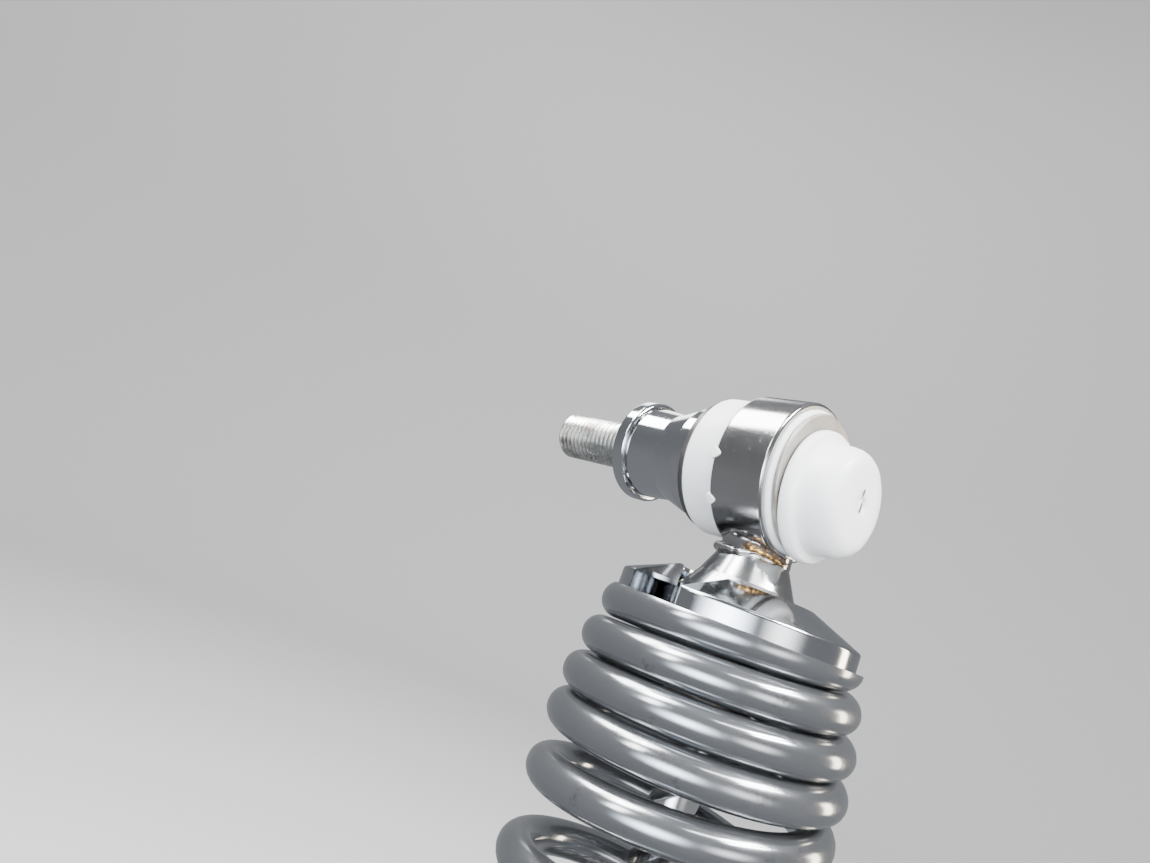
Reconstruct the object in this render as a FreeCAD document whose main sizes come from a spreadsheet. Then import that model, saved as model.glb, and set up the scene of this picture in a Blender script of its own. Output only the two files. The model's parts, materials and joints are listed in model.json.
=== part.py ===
"""Rear coil-over shock absorber of a cruiser motorcycle, with its upper mounting stud.

The frame is in millimetres. The origin is on the stud's axis, where its spacer seats
on the motorcycle's frame. +Y runs inboard along the stud, towards the wheel, +Z up
the shock's own axis, and +X towards the front of the motorcycle. The shock hangs
from the stud, fully extended.
"""

import FreeCAD, Part
import math
import os

import Sketcher
from FreeCAD import Placement, Rotation, Vector

SIZES = [
    # alias, value in millimetres or formula on the sizes above it, what it is
    ("stud_radius", 6.0, "thread of the upper mounting stud in the frame"),
    ("nut_thread_radius", 5.0, "thread of the stud in its nut"),
    ("shank_radius", 6.6, "shank of the stud, from the frame to the nut"),
    ("stud_inboard", 28.0, "length of the stud that enters the frame"),
    ("stud_chamfer", 1.0, "chamfer on both ends of the stud"),
    ("spacer_length", 23.0, "spacer between the frame and the inner washer"),
    ("spacer_radius", 11.3, "body of the spacer, at the frame"),
    ("spacer_neck_radius", 10.6, "body of the spacer, where its flare starts"),
    ("spacer_flange_radius", 12.5, "flange of the spacer on the frame"),
    ("spacer_flange", 4.0, "the same"),
    ("spacer_collar_radius", 12.9, "wide end of the spacer's flare, on the washer"),
    ("spacer_collar", 4.0, "the same"),
    ("spacer_flare", 7.0, "length of the flare"),
    ("spacer_edge", 0.9, "rounding of both"),
    ("inner_washer_radius", 15.0, "washer on the spacer"),
    ("inner_washer", 1.5, "the same"),
    ("outer_washer_radius", 15.2, "washer under the nut"),
    ("outer_washer", 1.0, "the same"),
    ("washer_edge", 0.4, "rounding of a washer's rim"),
    ("axial_gap", 0.2, "gap between a bush flange and its washer"),
    ("running_gap", 0.05, "radial clearance of a shaft or pin in its bore"),
    ("sleeve_wall", 1.35, "wall of the upper sleeve"),
    ("sleeve_radius", "shank_radius + running_gap + sleeve_wall", "outside of both steel sleeves"),
    ("bush_wall", 4.35, "bush between its sleeve and its eye"),
    ("bush_radius", "sleeve_radius + running_gap + bush_wall", "bush where it is pressed into the eye"),
    ("eye_wall", 4.9, "wall of both eyes"),
    ("eye_radius", "bush_radius + eye_wall", "outside of both eyes"),
    ("bush_inside_eye", 1.45, "rim of a bush flange inside the eye's own"),
    ("bush_flange_radius", "eye_radius - bush_inside_eye", "flange of every bush half"),
    ("bush_edge", 0.9, "rounding of a bush flange"),
    ("upper_inboard_flange", 8.8, "thick flange towards the frame"),
    ("upper_outboard_flange", 1.0, "thin flange under the nut"),
    ("lower_flange", 4.6, "both flanges of the lower bush"),
    ("bush_split", 0.4, "gap between two bush halves inside an eye"),
    ("nut_flats", 14.0, "across the flats of the nut"),
    ("nut_height", 5.0, "nut on the stud"),
    ("stud_past_nut", 2.6, "stud that shows past the nut"),
    ("cap_wall", 1.1, "wall of the cap"),
    ("cap_drop", 2.3, "the loose cap hangs this much low on its nut"),
    ("cap_radius", "nut_flats / sqrt(3) + cap_drop + 0.2 + cap_wall", "dome of the nut's cap"),
    ("cap_flange_radius", "cap_radius + 2.4", "rim of the nut's cap"),
    ("cap_flange_height", 2.6, "rim of the nut's cap"),
    ("cap_height", 10.6, "cap from its rim to the top of its dome"),
    ("cap_dome_edge", 3.6, "rounding of the cap's dome"),
    ("cap_rim_edge", 1.0, "rounding of the cap's rim"),
    ("eye_width", 12.5, "both eyes, along their pins"),
    ("eye_edge", 0.7, "rounding of an eye's rims"),
    ("eye_to_eye", 317.5, "between the pins, fully extended"),
    ("neck_radius", 7.6, "upper neck where it leaves the eye"),
    ("neck_drop", 18.6, "straight part of the neck, from the pin's axis"),
    ("cone_waist_radius", 10.2, "middle of the cone under the neck"),
    ("cone_waist_drop", 24.0, "the same, from the pin's axis"),
    ("cone_base_radius", 13.5, "base of the cone"),
    ("cone_base_edge", 0.9, "straight rim of the cone's base"),
    ("cone_base_drop", 29.5, "base of the cone, from the pin's axis"),
    ("rod_seat_depth", 9.0, "rod inside the cone"),
    ("keeper_recess_gap", 0.4, "gap round the cone's base"),
    ("keeper_collar", 0.9, "flat top of the keeper round the recess"),
    ("keeper_rise", 4.6, "keeper above the floor of its recess"),
    ("keeper_spigot_radius", 18.4, "keeper inside the spring"),
    ("keeper_ledge", 7.0, "ledge of the keeper over the spring"),
    ("keeper_radius", "keeper_spigot_radius + keeper_ledge", "rim of the spring keeper"),
    ("keeper_rim", 3.8, "height of the keeper's rim"),
    ("keeper_spigot", 2.2, "the same, below the rim"),
    ("keeper_slot", 14.0, "slot that lets the rod into the keeper"),
    ("keeper_slot_turn", 170.0, "direction of the slot, degrees from +X"),
    ("keeper_edge", 0.8, "rounding of the keeper's rim"),
    ("wire_radius", 3.9, "spring wire"),
    ("keeper_spring_gap", 0.4, "gap between the keeper and the first coil"),
    ("coil_top_radius", "keeper_spigot_radius + keeper_spring_gap + wire_radius", "middle of the wire in the first coil"),
    ("coil_taper_turns", 3.8, "turns over which the coils widen"),
    ("spring_turns", 15.9, "turns of the spring, from tip to tip"),
    ("spring_length", 212.6, "spring between its ground ends"),
    ("spring_tip_turn", 8.0, "direction of the spring's upper tip, degrees from +X"),
    ("rod_radius", 5.0, "damper rod"),
    ("rod_past_gland", 66.0, "rod inside the tube at rest"),
    ("rod_edge", 0.8, "chamfer on the rod's lower end"),
    ("stop_radius", 9.2, "rubber bump stop"),
    ("stop_waist", 7.4, "bump stop between its ribs"),
    ("stop_height", 20.0, "rubber bump stop"),
    ("stroke", 60.0, "travel of the damper"),
    ("stop_clearance", 6.0, "gap left under the bump stop at full stroke"),
    ("tube_radius", 19.0, "damper tube"),
    ("tube_wall", 2.0, "damper tube"),
    ("tube_floor", 4.0, "closed end of the damper tube"),
    ("tube_end_edge", 3.0, "rounding of the tube's closed end"),
    ("tube_to_eye", 1.6, "tube's closed end above the lower eye"),
    ("gland_radius", "tube_radius - tube_wall + 0.2", "lip of the gland, on the tube's end"),
    ("gland_lip", 3.0, "gland above the tube"),
    ("gland_plug", 14.0, "gland inside the tube"),
    ("gland_edge", 1.0, "chamfer on the gland's lip"),
    ("saddle_radius", 9.0, "neck between tube and lower eye"),
    ("sliding_gap", 0.3, "gap between a ring and the tube it slides on"),
    ("spigot_wall", 3.4, "seat inside the spring"),
    ("spring_gap", 0.4, "gap between the seat's spigot and the spring"),
    ("seat_spigot_radius", "tube_radius + sliding_gap + spigot_wall", "seat inside the spring"),
    ("seat_spigot", 4.0, "the same"),
    ("coil_radius", "seat_spigot_radius + spring_gap + wire_radius", "middle of the wire in the open coils"),
    ("seat_past_coil", 0.7, "seat past the outside of the spring"),
    ("seat_radius", "coil_radius + wire_radius + seat_past_coil", "lower spring seat"),
    ("seat_thickness", 4.0, "lower spring seat"),
    ("seat_edge", 1.0, "rounding of the seat's rim"),
    ("cam_wall", 7.7, "preload cam"),
    ("cam_radius", "tube_radius + sliding_gap + cam_wall", "preload cam"),
    ("cam_height", 20.0, "preload cam at its tallest step"),
    ("cam_rise", 2.6, "from one step of the cam to the next"),
    ("cam_notch_width", 6.0, "notch for the spanner"),
    ("cam_notch_depth", 2.4, "notch for the spanner"),
    ("cam_notch_height", 6.5, "notch for the spanner"),
    ("band_thickness", 2.0, "band round the tube that carries the lugs"),
    ("band_radius", "tube_radius + band_thickness", "the same"),
    ("band_height", 5.0, "the same"),
    ("lug_width", 7.0, "each lug that carries the cam"),
    ("lug_height", 11.0, "each lug, from the foot of its band to the cam"),
    ("lug_reach", "tube_radius + 6.6", "end of a lug, from the shock's axis"),
    ("lower_sleeve_past", 0.6, "lower sleeve past each bush flange"),
]

CAM_STEPS = 5
CAM_RAMPS = 2
CAM_NOTCHES = 6
ARCS_PER_TURN = 8
RIBS = 3
# The wire's middle below the spring's top plane, in wire diameters, at a number of turns
# from the upper tip: a ground dead coil, then close coils, then coils that open.
TOP_COILS = [
    # turns, drop
    (0.0, -0.2), (0.2, 0.0), (0.4, 0.195), (0.65, 0.41), (0.9, 0.67), (1.2, 1.015), (1.65, 1.436),
    (2.15, 1.975), (2.65, 2.487), (3.15, 3.0), (3.65, 3.526), (4.15, 4.077), (4.65, 5.038), (5.15, 6.09),
    (5.65, 7.15),
]
# The same above the bottom plane, from the lower tip.
FOOT_COILS = [
    # turns, rise
    (0.0, 0.0), (0.15, 0.2), (0.65, 0.44), (1.15, 1.44),
]

doc = FreeCAD.newDocument("shock_absorber")
sheet = doc.addObject("Spreadsheet::Sheet", "sizes")
for row, (alias, number, note) in enumerate(SIZES, start=1):
    sheet.set("A%d" % row, "=" + number if isinstance(number, str) else str(number))
    sheet.setAlias("A%d" % row, alias)
    sheet.set("B%d" % row, note)
doc.recompute()

# Places that several pieces share, as expressions on the sheet.
# Along the stud, from the frame outwards, the pieces have negative Y.
SLEEVE_START = "(sizes.spacer_length + sizes.inner_washer)"
BUSH_START = "(%s + sizes.axial_gap)" % SLEEVE_START
EYE_START = "(%s + sizes.upper_inboard_flange)" % BUSH_START
EYE_MIDDLE = "(%s + sizes.eye_width / 2)" % EYE_START
EYE_END = "(%s + sizes.eye_width)" % EYE_START
STACK_END = "(%s + sizes.upper_outboard_flange + sizes.axial_gap)" % EYE_END
NUT_START = "(%s + sizes.outer_washer)" % STACK_END
EYE_Y = "-%s" % EYE_MIDDLE
# Down the shock, from the upper pin's axis, heights are negative.
KEEPER_SEAT = "(sizes.cone_base_drop + sizes.keeper_rim)"
KEEPER_FOOT = "(%s + sizes.keeper_spigot)" % KEEPER_SEAT
STOP_FOOT = "(%s + sizes.stop_height)" % KEEPER_FOOT
GLAND_TOP = "(%s + sizes.stroke + sizes.stop_clearance)" % STOP_FOOT
TUBE_TOP = "(%s + sizes.gland_lip)" % GLAND_TOP
TUBE_FOOT = "(sizes.eye_to_eye - sizes.eye_radius - sizes.tube_to_eye)"
SPRING_FOOT = "(%s + sizes.spring_length)" % KEEPER_SEAT
CAM_TOP = "(%s + sizes.seat_thickness)" % SPRING_FOOT
LUG_TOP = "(%s + sizes.cam_height - 2 * sizes.cam_rise)" % CAM_TOP
RING_BORE = "(sizes.tube_radius + sizes.sliding_gap)"


def value(expression):
    """The number that an expression on the sheet gives."""
    found = sheet.evalExpression(expression)
    return float(getattr(found, "Value", found))


def place(piece, base, rotation=None):
    """Puts a piece at three expressions, turned by a rotation."""
    piece.Placement = Placement(Vector(0, 0, 0), rotation or Rotation())
    for axis, expression in zip("xyz", base):
        piece.setExpression("Placement.Base." + axis, expression)


def new_body(label):
    """An empty body with its own label."""
    body = doc.addObject("PartDesign::Body", label)
    body.Label = label
    return body


def new_sketch(body, role, name):
    """A sketch on one of the body's own origin planes."""
    sketch = body.newObject("Sketcher::SketchObject", name)
    plane = [f for f in body.Origin.OriginFeatures if f.Role == role][0]
    sketch.AttachmentSupport = [(plane, "")]
    sketch.MapMode = "FlatFace"
    return sketch


def pin_point(sketch, line, x, y):
    """Holds the start of a line at two expressions."""
    for kind, expression, axis in (("DistanceX", x, -2), ("DistanceY", y, -1)):
        number = value(expression)
        if expression == "0":
            sketch.addConstraint(Sketcher.Constraint("PointOnObject", line, 1, axis))
            continue
        index = sketch.addConstraint(Sketcher.Constraint(kind, -1, 1, line, 1, number))
        sketch.setExpression("Constraints[%d]" % index, expression)


def outline(body, role, name, points):
    """A closed outline of straight lines through points, which are pairs of expressions."""
    sketch = new_sketch(body, role, name)
    corners = [Vector(value(x), value(y), 0) for x, y in points]
    count = len(corners)
    for i in range(count):
        sketch.addGeometry(Part.LineSegment(corners[i], corners[(i + 1) % count]))
    for i in range(count):
        sketch.addConstraint(Sketcher.Constraint("Coincident", i, 2, (i + 1) % count, 1))
    for i, (x, y) in enumerate(points):
        pin_point(sketch, i, x, y)
    return sketch


def revolve(body, kind, name, points):
    """Turns an outline of (radius, height) about the body's Z axis, adding or cutting."""
    sketch = outline(body, "XZ_Plane", name + "_outline", points)
    feature = body.newObject(kind, name)
    feature.Profile = sketch
    feature.ReferenceAxis = (sketch, ["V_Axis"])
    feature.Angle = 360
    body.Tip = feature
    doc.recompute()
    return feature


def round_rims(body, edge, rims):
    """Rounds the circular edges at the given (radius, height) about the body's Z axis."""
    base = body.Tip
    names = []
    for radius, height in rims:
        want_r, want_h = value(radius), value(height)
        for i, e in enumerate(base.Shape.Edges, start=1):
            if not isinstance(e.Curve, Part.Circle):
                continue
            centre = e.Curve.Center
            on_axis = math.hypot(centre.x, centre.y) < 1e-4 and abs(abs(e.Curve.Axis.z) - 1) < 1e-6
            if on_axis and abs(e.Curve.Radius - want_r) < 1e-4 and abs(centre.z - want_h) < 1e-4:
                names.append("Edge%d" % i)
    if not names:
        raise ValueError("no rim to round on " + body.Label)
    fillet = body.newObject("PartDesign::Fillet", body.Name + "_round")
    fillet.Base = (base, names)
    fillet.setExpression("Radius", edge)
    body.Tip = fillet
    doc.recompute()


def turned(label, points, base=("0", "0", "0"), rotation=None, rounds=()):
    """A turned piece: an outline of (radius, height) about its own Z axis, with rounded rims."""
    body = new_body(label)
    revolve(body, "PartDesign::Revolution", label + "_turn", points)
    for edge, rims in rounds:
        round_rims(body, edge, rims)
    place(body, base, rotation)
    return body


def ring(inner, outer, low, high):
    """Outline of a plain ring."""
    return [(inner, low), (outer, low), (outer, high), (inner, high)]


# A piece turned about the stud: its own Z runs outboard, along -Y.
OUTBOARD = Rotation(Vector(1, 0, 0), 90)
INBOARD = Rotation(Vector(1, 0, 0), -90)


def stud():
    """The mounting stud: threaded into the frame at one end, into the nut at the other."""
    end = "(%s + sizes.nut_height + sizes.stud_past_nut)" % NUT_START
    tip = "(sizes.stud_radius - sizes.stud_chamfer)"
    return turned("upper_stud", [
        ("0", "-sizes.stud_inboard"),
        (tip, "-sizes.stud_inboard"),
        ("sizes.stud_radius", "-sizes.stud_inboard + sizes.stud_chamfer"),
        ("sizes.stud_radius", "0"),
        ("sizes.shank_radius", "0"),
        ("sizes.shank_radius", NUT_START),
        ("sizes.nut_thread_radius", NUT_START),
        ("sizes.nut_thread_radius", "%s - sizes.stud_chamfer" % end),
        ("(sizes.nut_thread_radius - sizes.stud_chamfer)", end),
        ("0", end),
    ], rotation=OUTBOARD)


def spacer():
    """The spool-shaped spacer that holds the eye off the frame."""
    bore = "(sizes.shank_radius + sizes.running_gap)"
    end = "sizes.spacer_length"
    flange = "sizes.spacer_flange_radius"
    collar = "sizes.spacer_collar_radius"
    turned("upper_spacer", [
        (bore, "0"),
        (flange, "0"),
        (flange, "sizes.spacer_flange"),
        ("sizes.spacer_radius", "sizes.spacer_flange"),
        ("sizes.spacer_neck_radius", "%s - sizes.spacer_collar - sizes.spacer_flare" % end),
        (collar, "%s - sizes.spacer_collar" % end),
        (collar, end),
        (bore, end),
    ], rotation=OUTBOARD, rounds=[("sizes.spacer_edge", [(flange, "0"), (flange, "sizes.spacer_flange")])])


def washers():
    """The washer on the spacer and the one under the nut."""
    bore = "(sizes.shank_radius + sizes.running_gap)"
    rows = [
        # label, radius, thickness, start along the stud
        ("upper_inner_washer", "sizes.inner_washer_radius", "sizes.inner_washer", "sizes.spacer_length"),
        ("upper_outer_washer", "sizes.outer_washer_radius", "sizes.outer_washer", STACK_END),
    ]
    for label, radius, thickness, start in rows:
        end = "%s + %s" % (start, thickness)
        turned(label, ring(bore, radius, start, end), rotation=OUTBOARD,
               rounds=[("sizes.washer_edge", [(radius, start), (radius, end)])])


def sleeve(label, bore, low, high, base, rotation):
    """A steel sleeve between two stations of its pin's axis."""
    return turned(label, ring(bore, "sizes.sleeve_radius", low, high), base, rotation)


def bush_half(label, flange, base, rotation):
    """Half of a flanged bush: its flange lies outside the eye, its barrel inside."""
    bore = "(sizes.sleeve_radius + sizes.running_gap)"
    half = "(sizes.eye_width / 2)"
    top = "(%s + %s)" % (half, flange)
    return turned(label, [
        (bore, "sizes.bush_split / 2"),
        ("sizes.bush_radius", "sizes.bush_split / 2"),
        ("sizes.bush_radius", half),
        ("sizes.bush_flange_radius", half),
        ("sizes.bush_flange_radius", top),
        (bore, top),
    ], base, rotation, rounds=[("sizes.bush_edge", [("sizes.bush_flange_radius", top)])])


def nut():
    """The hexagon nut on the stud, with its corners turned off at both ends."""
    hexagon = doc.addObject("Part::Prism", "nut_hexagon")
    hexagon.Polygon = 6
    hexagon.setExpression("Circumradius", "sizes.nut_flats / sqrt(3)")
    hexagon.setExpression("Height", "sizes.nut_height")
    corner = "(sizes.nut_flats / sqrt(3))"
    flat = "(sizes.nut_flats * 0.485)"
    slope = "(%s - %s) * 0.5" % (corner, flat)
    turn = turned("nut_turn", [
        ("sizes.nut_thread_radius", "0"),
        (flat, "0"),
        (corner, slope),
        (corner, "sizes.nut_height - %s" % slope),
        (flat, "sizes.nut_height"),
        ("sizes.nut_thread_radius", "sizes.nut_height"),
    ])
    piece = doc.addObject("Part::Common", "upper_nut")
    piece.Base = hexagon
    piece.Tool = turn
    piece.Label = "upper_nut"
    place(piece, ("0", "-%s" % NUT_START, "0"), OUTBOARD)
    return piece


def nut_cap():
    """The plastic cap that snaps over the nut: a rim and a low dome, hollow inside."""
    inner = "(sizes.cap_radius - sizes.cap_wall)"
    return turned("nut_cap", [
        (inner, "0"),
        ("sizes.cap_flange_radius", "0"),
        ("sizes.cap_flange_radius", "sizes.cap_flange_height"),
        ("sizes.cap_radius", "sizes.cap_flange_height"),
        ("sizes.cap_radius", "sizes.cap_height"),
        ("0", "sizes.cap_height"),
        ("0", "sizes.cap_height - sizes.cap_wall"),
        (inner, "sizes.cap_height - sizes.cap_wall"),
    ], ("0", "-(%s + sizes.axial_gap)" % NUT_START, "-sizes.cap_drop"), OUTBOARD, rounds=[
        ("sizes.cap_dome_edge", [("sizes.cap_radius", "sizes.cap_height")]),
        ("sizes.cap_rim_edge", [("sizes.cap_flange_radius", "sizes.cap_flange_height")]),
    ])


def cylinder(name, radius, height, base=("0", "0", "0"), rotation=None):
    """A plain cylinder bound to the sheet."""
    piece = doc.addObject("Part::Cylinder", name)
    piece.setExpression("Radius", radius)
    piece.setExpression("Height", height)
    place(piece, base, rotation)
    return piece


def block(name, length, width, height, base, rotation=None):
    """A plain box bound to the sheet, from its own low corner."""
    piece = doc.addObject("Part::Box", name)
    piece.setExpression("Length", length)
    piece.setExpression("Width", width)
    piece.setExpression("Height", height)
    place(piece, base, rotation)
    return piece


def about_z(degrees):
    """A turn about the shock's axis."""
    return Rotation(Vector(0, 0, 1), degrees)


def fused(name, pieces):
    """Several pieces made one."""
    whole = doc.addObject("Part::MultiFuse", name)
    whole.Shapes = pieces
    return whole


def cut(label, base, tools):
    """A piece with tools cut out of it."""
    tool = fused(label + "_tools", tools) if len(tools) > 1 else tools[0]
    piece = doc.addObject("Part::Cut", label)
    piece.Base = base
    piece.Tool = tool
    piece.Label = label
    return piece


def eye(label, neck, height):
    """An eye: a ring about its pin, fused to a neck that is cut clear of the bush flanges."""
    half = "(sizes.eye_width / 2)"
    rims = [("sizes.eye_radius", "-%s" % half), ("sizes.eye_radius", half)]
    loop = turned(label + "_ring", ring("sizes.bush_radius", "sizes.eye_radius", "-%s" % half, half),
                  rotation=OUTBOARD, rounds=[("sizes.eye_edge", rims)])
    space = cylinder(label + "_flange_space", "sizes.bush_flange_radius + sizes.sliding_gap",
                     "4 * sizes.eye_width", ("0", "2 * sizes.eye_width", "0"), OUTBOARD)
    piece = fused(label, [cut(label + "_trimmed_neck", neck, [space]), loop])
    piece.Label = label
    place(piece, ("0", EYE_Y, height))
    return piece


def upper_eye():
    """The upper eye on its cone, with the seat of the damper rod in the base."""
    neck = new_body("upper_eye_neck")
    revolve(neck, "PartDesign::Revolution", "upper_neck_turn", [
        ("0", "-sizes.bush_radius"),
        ("sizes.neck_radius", "-sizes.bush_radius"),
        ("sizes.neck_radius", "-sizes.neck_drop"),
        ("sizes.cone_waist_radius", "-sizes.cone_waist_drop"),
        ("sizes.cone_base_radius", "-(sizes.cone_base_drop - sizes.cone_base_edge)"),
        ("sizes.cone_base_radius", "-sizes.cone_base_drop"),
        ("0", "-sizes.cone_base_drop"),
    ])
    floor = "-(sizes.cone_base_drop - sizes.rod_seat_depth)"
    revolve(neck, "PartDesign::Groove", "upper_neck_rod_seat", [
        ("0", "-sizes.cone_base_drop"),
        ("sizes.rod_radius", "-sizes.cone_base_drop"),
        ("sizes.rod_radius", floor),
        ("0", floor),
    ])
    return eye("upper_eye", neck, "0")


def lower_eye():
    """The lower eye with the short saddle that carries the tube."""
    top = "(sizes.eye_radius + sizes.tube_to_eye)"
    neck = turned("lower_eye_neck", [
        ("0", top),
        ("0", "sizes.bush_radius"),
        ("sizes.saddle_radius", "sizes.bush_radius"),
        ("sizes.saddle_radius", top),
    ])
    return eye("lower_eye", neck, "-sizes.eye_to_eye")


def spring_keeper():
    """The slotted keeper: the cone's base lies in its recess, and the spring bears on its rim."""
    hole = "(sizes.rod_radius + sizes.sliding_gap)"
    recess = "(sizes.cone_base_radius + sizes.keeper_recess_gap)"
    floor = "-sizes.cone_base_drop"
    top = "-(sizes.cone_base_drop - sizes.keeper_rise)"
    body = new_body("spring_keeper")
    revolve(body, "PartDesign::Revolution", "keeper_turn", [
        (hole, "-%s" % KEEPER_FOOT),
        ("sizes.keeper_spigot_radius", "-%s" % KEEPER_FOOT),
        ("sizes.keeper_spigot_radius", "-%s" % KEEPER_SEAT),
        ("sizes.keeper_radius", "-%s" % KEEPER_SEAT),
        ("sizes.keeper_radius", floor),
        ("(%s + sizes.keeper_collar)" % recess, top),
        (recess, top),
        (recess, floor),
        (hole, floor),
    ])
    round_rims(body, "sizes.keeper_edge", [("sizes.keeper_radius", floor)])
    half = "(sizes.keeper_slot / 2)"
    far = "(2 * sizes.keeper_radius)"
    slot = body.newObject("PartDesign::Pocket", "keeper_slot")
    slot.Profile = outline(body, "XY_Plane", "keeper_slot_outline", [
        ("0", "-%s" % half), (far, "-%s" % half), (far, half), ("0", half)])
    slot.Midplane = True
    slot.setExpression("Length", "4 * sizes.cone_base_drop")
    body.Tip = slot
    doc.recompute()
    place(body, ("0", EYE_Y, "0"), Rotation(Vector(0, 0, 1), value("sizes.keeper_slot_turn")))
    return body


def damper_rod():
    """The polished rod, from its seat in the cone down into the tube."""
    top = "-(sizes.cone_base_drop - sizes.rod_seat_depth)"
    foot = "-(%s + sizes.rod_past_gland)" % TUBE_TOP
    return turned("damper_rod", [
        ("0", foot),
        ("(sizes.rod_radius - sizes.rod_edge)", foot),
        ("sizes.rod_radius", "%s + sizes.rod_edge" % foot),
        ("sizes.rod_radius", top),
        ("0", top),
    ], ("0", EYE_Y, "0"))


def bump_stop():
    """The ribbed rubber stop on the rod, under the keeper."""
    bore = "(sizes.rod_radius + sizes.running_gap)"
    step = "(sizes.stop_height / %d)" % (2 * RIBS)
    points = [(bore, "-%s" % KEEPER_FOOT)]
    for rib in range(RIBS):
        high = "-%s - %d * %s" % (KEEPER_FOOT, 2 * rib, step)
        middle = "-%s - %d * %s" % (KEEPER_FOOT, 2 * rib + 1, step)
        points.append(("sizes.stop_radius", high))
        points.append(("sizes.stop_radius", middle))
        points.append(("sizes.stop_waist", middle + " - %s / 2" % step))
    points.append(("sizes.stop_waist", "-%s" % STOP_FOOT))
    points.append((bore, "-%s" % STOP_FOOT))
    return turned("bump_stop", points, ("0", EYE_Y, "0"))


def smooth_curve(knots):
    """A rising curve through knots of (turns, height), with no overshoot between them."""
    steps = [(b[1] - a[1]) / (b[0] - a[0]) for a, b in zip(knots, knots[1:])]
    slopes = [steps[0]] + [2 * a * b / (a + b) for a, b in zip(steps, steps[1:])] + [steps[-1]]

    def at(turn):
        i = max(k for k in range(len(steps)) if turn >= knots[k][0] - 1e-9)
        width = knots[i + 1][0] - knots[i][0]
        x = (turn - knots[i][0]) / width
        low, high = knots[i][1], knots[i + 1][1]
        bend = x * (1 - x) * width * (slopes[i] * (1 - x) - slopes[i + 1] * x)
        return low + (high - low) * x * x * (3 - 2 * x) + bend

    return at


def spring_path():
    """Points on the middle of the wire, from its upper tip to its lower tip."""
    turns, length = value("sizes.spring_turns"), value("sizes.spring_length")
    wire = 2 * value("sizes.wire_radius")
    knots = [(turn, drop * wire) for turn, drop in TOP_COILS]
    knots += [(turns - turn, length - rise * wire) for turn, rise in reversed(FOOT_COILS)]
    drop_at = smooth_curve(knots)
    count = 2 * ARCS_PER_TURN * round(turns)
    top_radius, radius = value("sizes.coil_top_radius"), value("sizes.coil_radius")
    taper = value("sizes.coil_taper_turns")
    points = []
    for i in range(count + 1):
        turn = turns * i / count
        r = top_radius + (radius - top_radius) * math.sin(min(1.0, turn / taper) * math.pi / 2)
        angle = math.radians(value("sizes.spring_tip_turn") - 360 * turn)
        points.append(Vector(r * math.cos(angle), r * math.sin(angle), -drop_at(turn)))
    return points


def coil_spring():
    """The coil spring: round wire along arcs, ground flat at both ends."""
    points = spring_path()
    arcs = [Part.Arc(points[i], points[i + 1], points[i + 2]).toShape()
            for i in range(0, len(points) - 2, 2)]
    path = Part.Wire(arcs)
    start = arcs[0].tangentAt(arcs[0].FirstParameter)
    section = Part.Wire([Part.makeCircle(value("sizes.wire_radius"), points[0], start)])
    wire = path.makePipeShell([section], True, False)
    wide = 4 * value("sizes.coil_radius")
    length = value("sizes.spring_length")
    slab = Part.makeBox(wide, wide, length, Vector(-wide / 2, -wide / 2, -length))
    shape = wire.common(slab)
    piece = doc.addObject("Part::Feature", "coil_spring")
    piece.Label = "coil_spring"
    piece.Shape = shape.Solids[0]
    place(piece, ("0", EYE_Y, "-%s" % KEEPER_SEAT))
    return piece


def rod_gland():
    """The gland that guides the rod and closes the tube."""
    bore = "(sizes.rod_radius + sizes.running_gap)"
    inside = "(sizes.tube_radius - sizes.tube_wall)"
    top = "-%s" % GLAND_TOP
    seat = "-%s" % TUBE_TOP
    foot = "-(%s + sizes.gland_plug)" % TUBE_TOP
    return turned("rod_gland", [
        (bore, foot),
        (inside, foot),
        (inside, seat),
        ("sizes.gland_radius + sizes.gland_edge", seat),
        ("sizes.gland_radius + sizes.gland_edge", "%s - sizes.gland_edge" % top),
        ("sizes.gland_radius", top),
        (bore, top),
    ], ("0", EYE_Y, "0"))


def damper_tube():
    """The damper tube, open at the gland and closed above the lower eye."""
    inside = "(sizes.tube_radius - sizes.tube_wall)"
    foot = "-%s" % TUBE_FOOT
    return turned("damper_tube", [
        ("0", foot),
        ("sizes.tube_radius", foot),
        ("sizes.tube_radius", "-%s" % TUBE_TOP),
        (inside, "-%s" % TUBE_TOP),
        (inside, "%s + sizes.tube_floor" % foot),
        ("0", "%s + sizes.tube_floor" % foot),
    ], ("0", EYE_Y, "0"), rounds=[("sizes.tube_end_edge", [("sizes.tube_radius", foot)])])


def lower_spring_seat():
    """The seat under the spring, which slides on the tube and rests on the cam."""
    low = "-%s" % CAM_TOP
    high = "-%s" % SPRING_FOOT
    return turned("lower_spring_seat", [
        (RING_BORE, low),
        ("sizes.seat_radius", low),
        ("sizes.seat_radius", high),
        ("sizes.seat_spigot_radius", high),
        ("sizes.seat_spigot_radius", "%s + sizes.seat_spigot" % high),
        (RING_BORE, "%s + sizes.seat_spigot" % high),
    ], ("0", EYE_Y, "0"), rounds=[("sizes.seat_edge", [("sizes.seat_radius", low), ("sizes.seat_radius", high)])])


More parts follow.
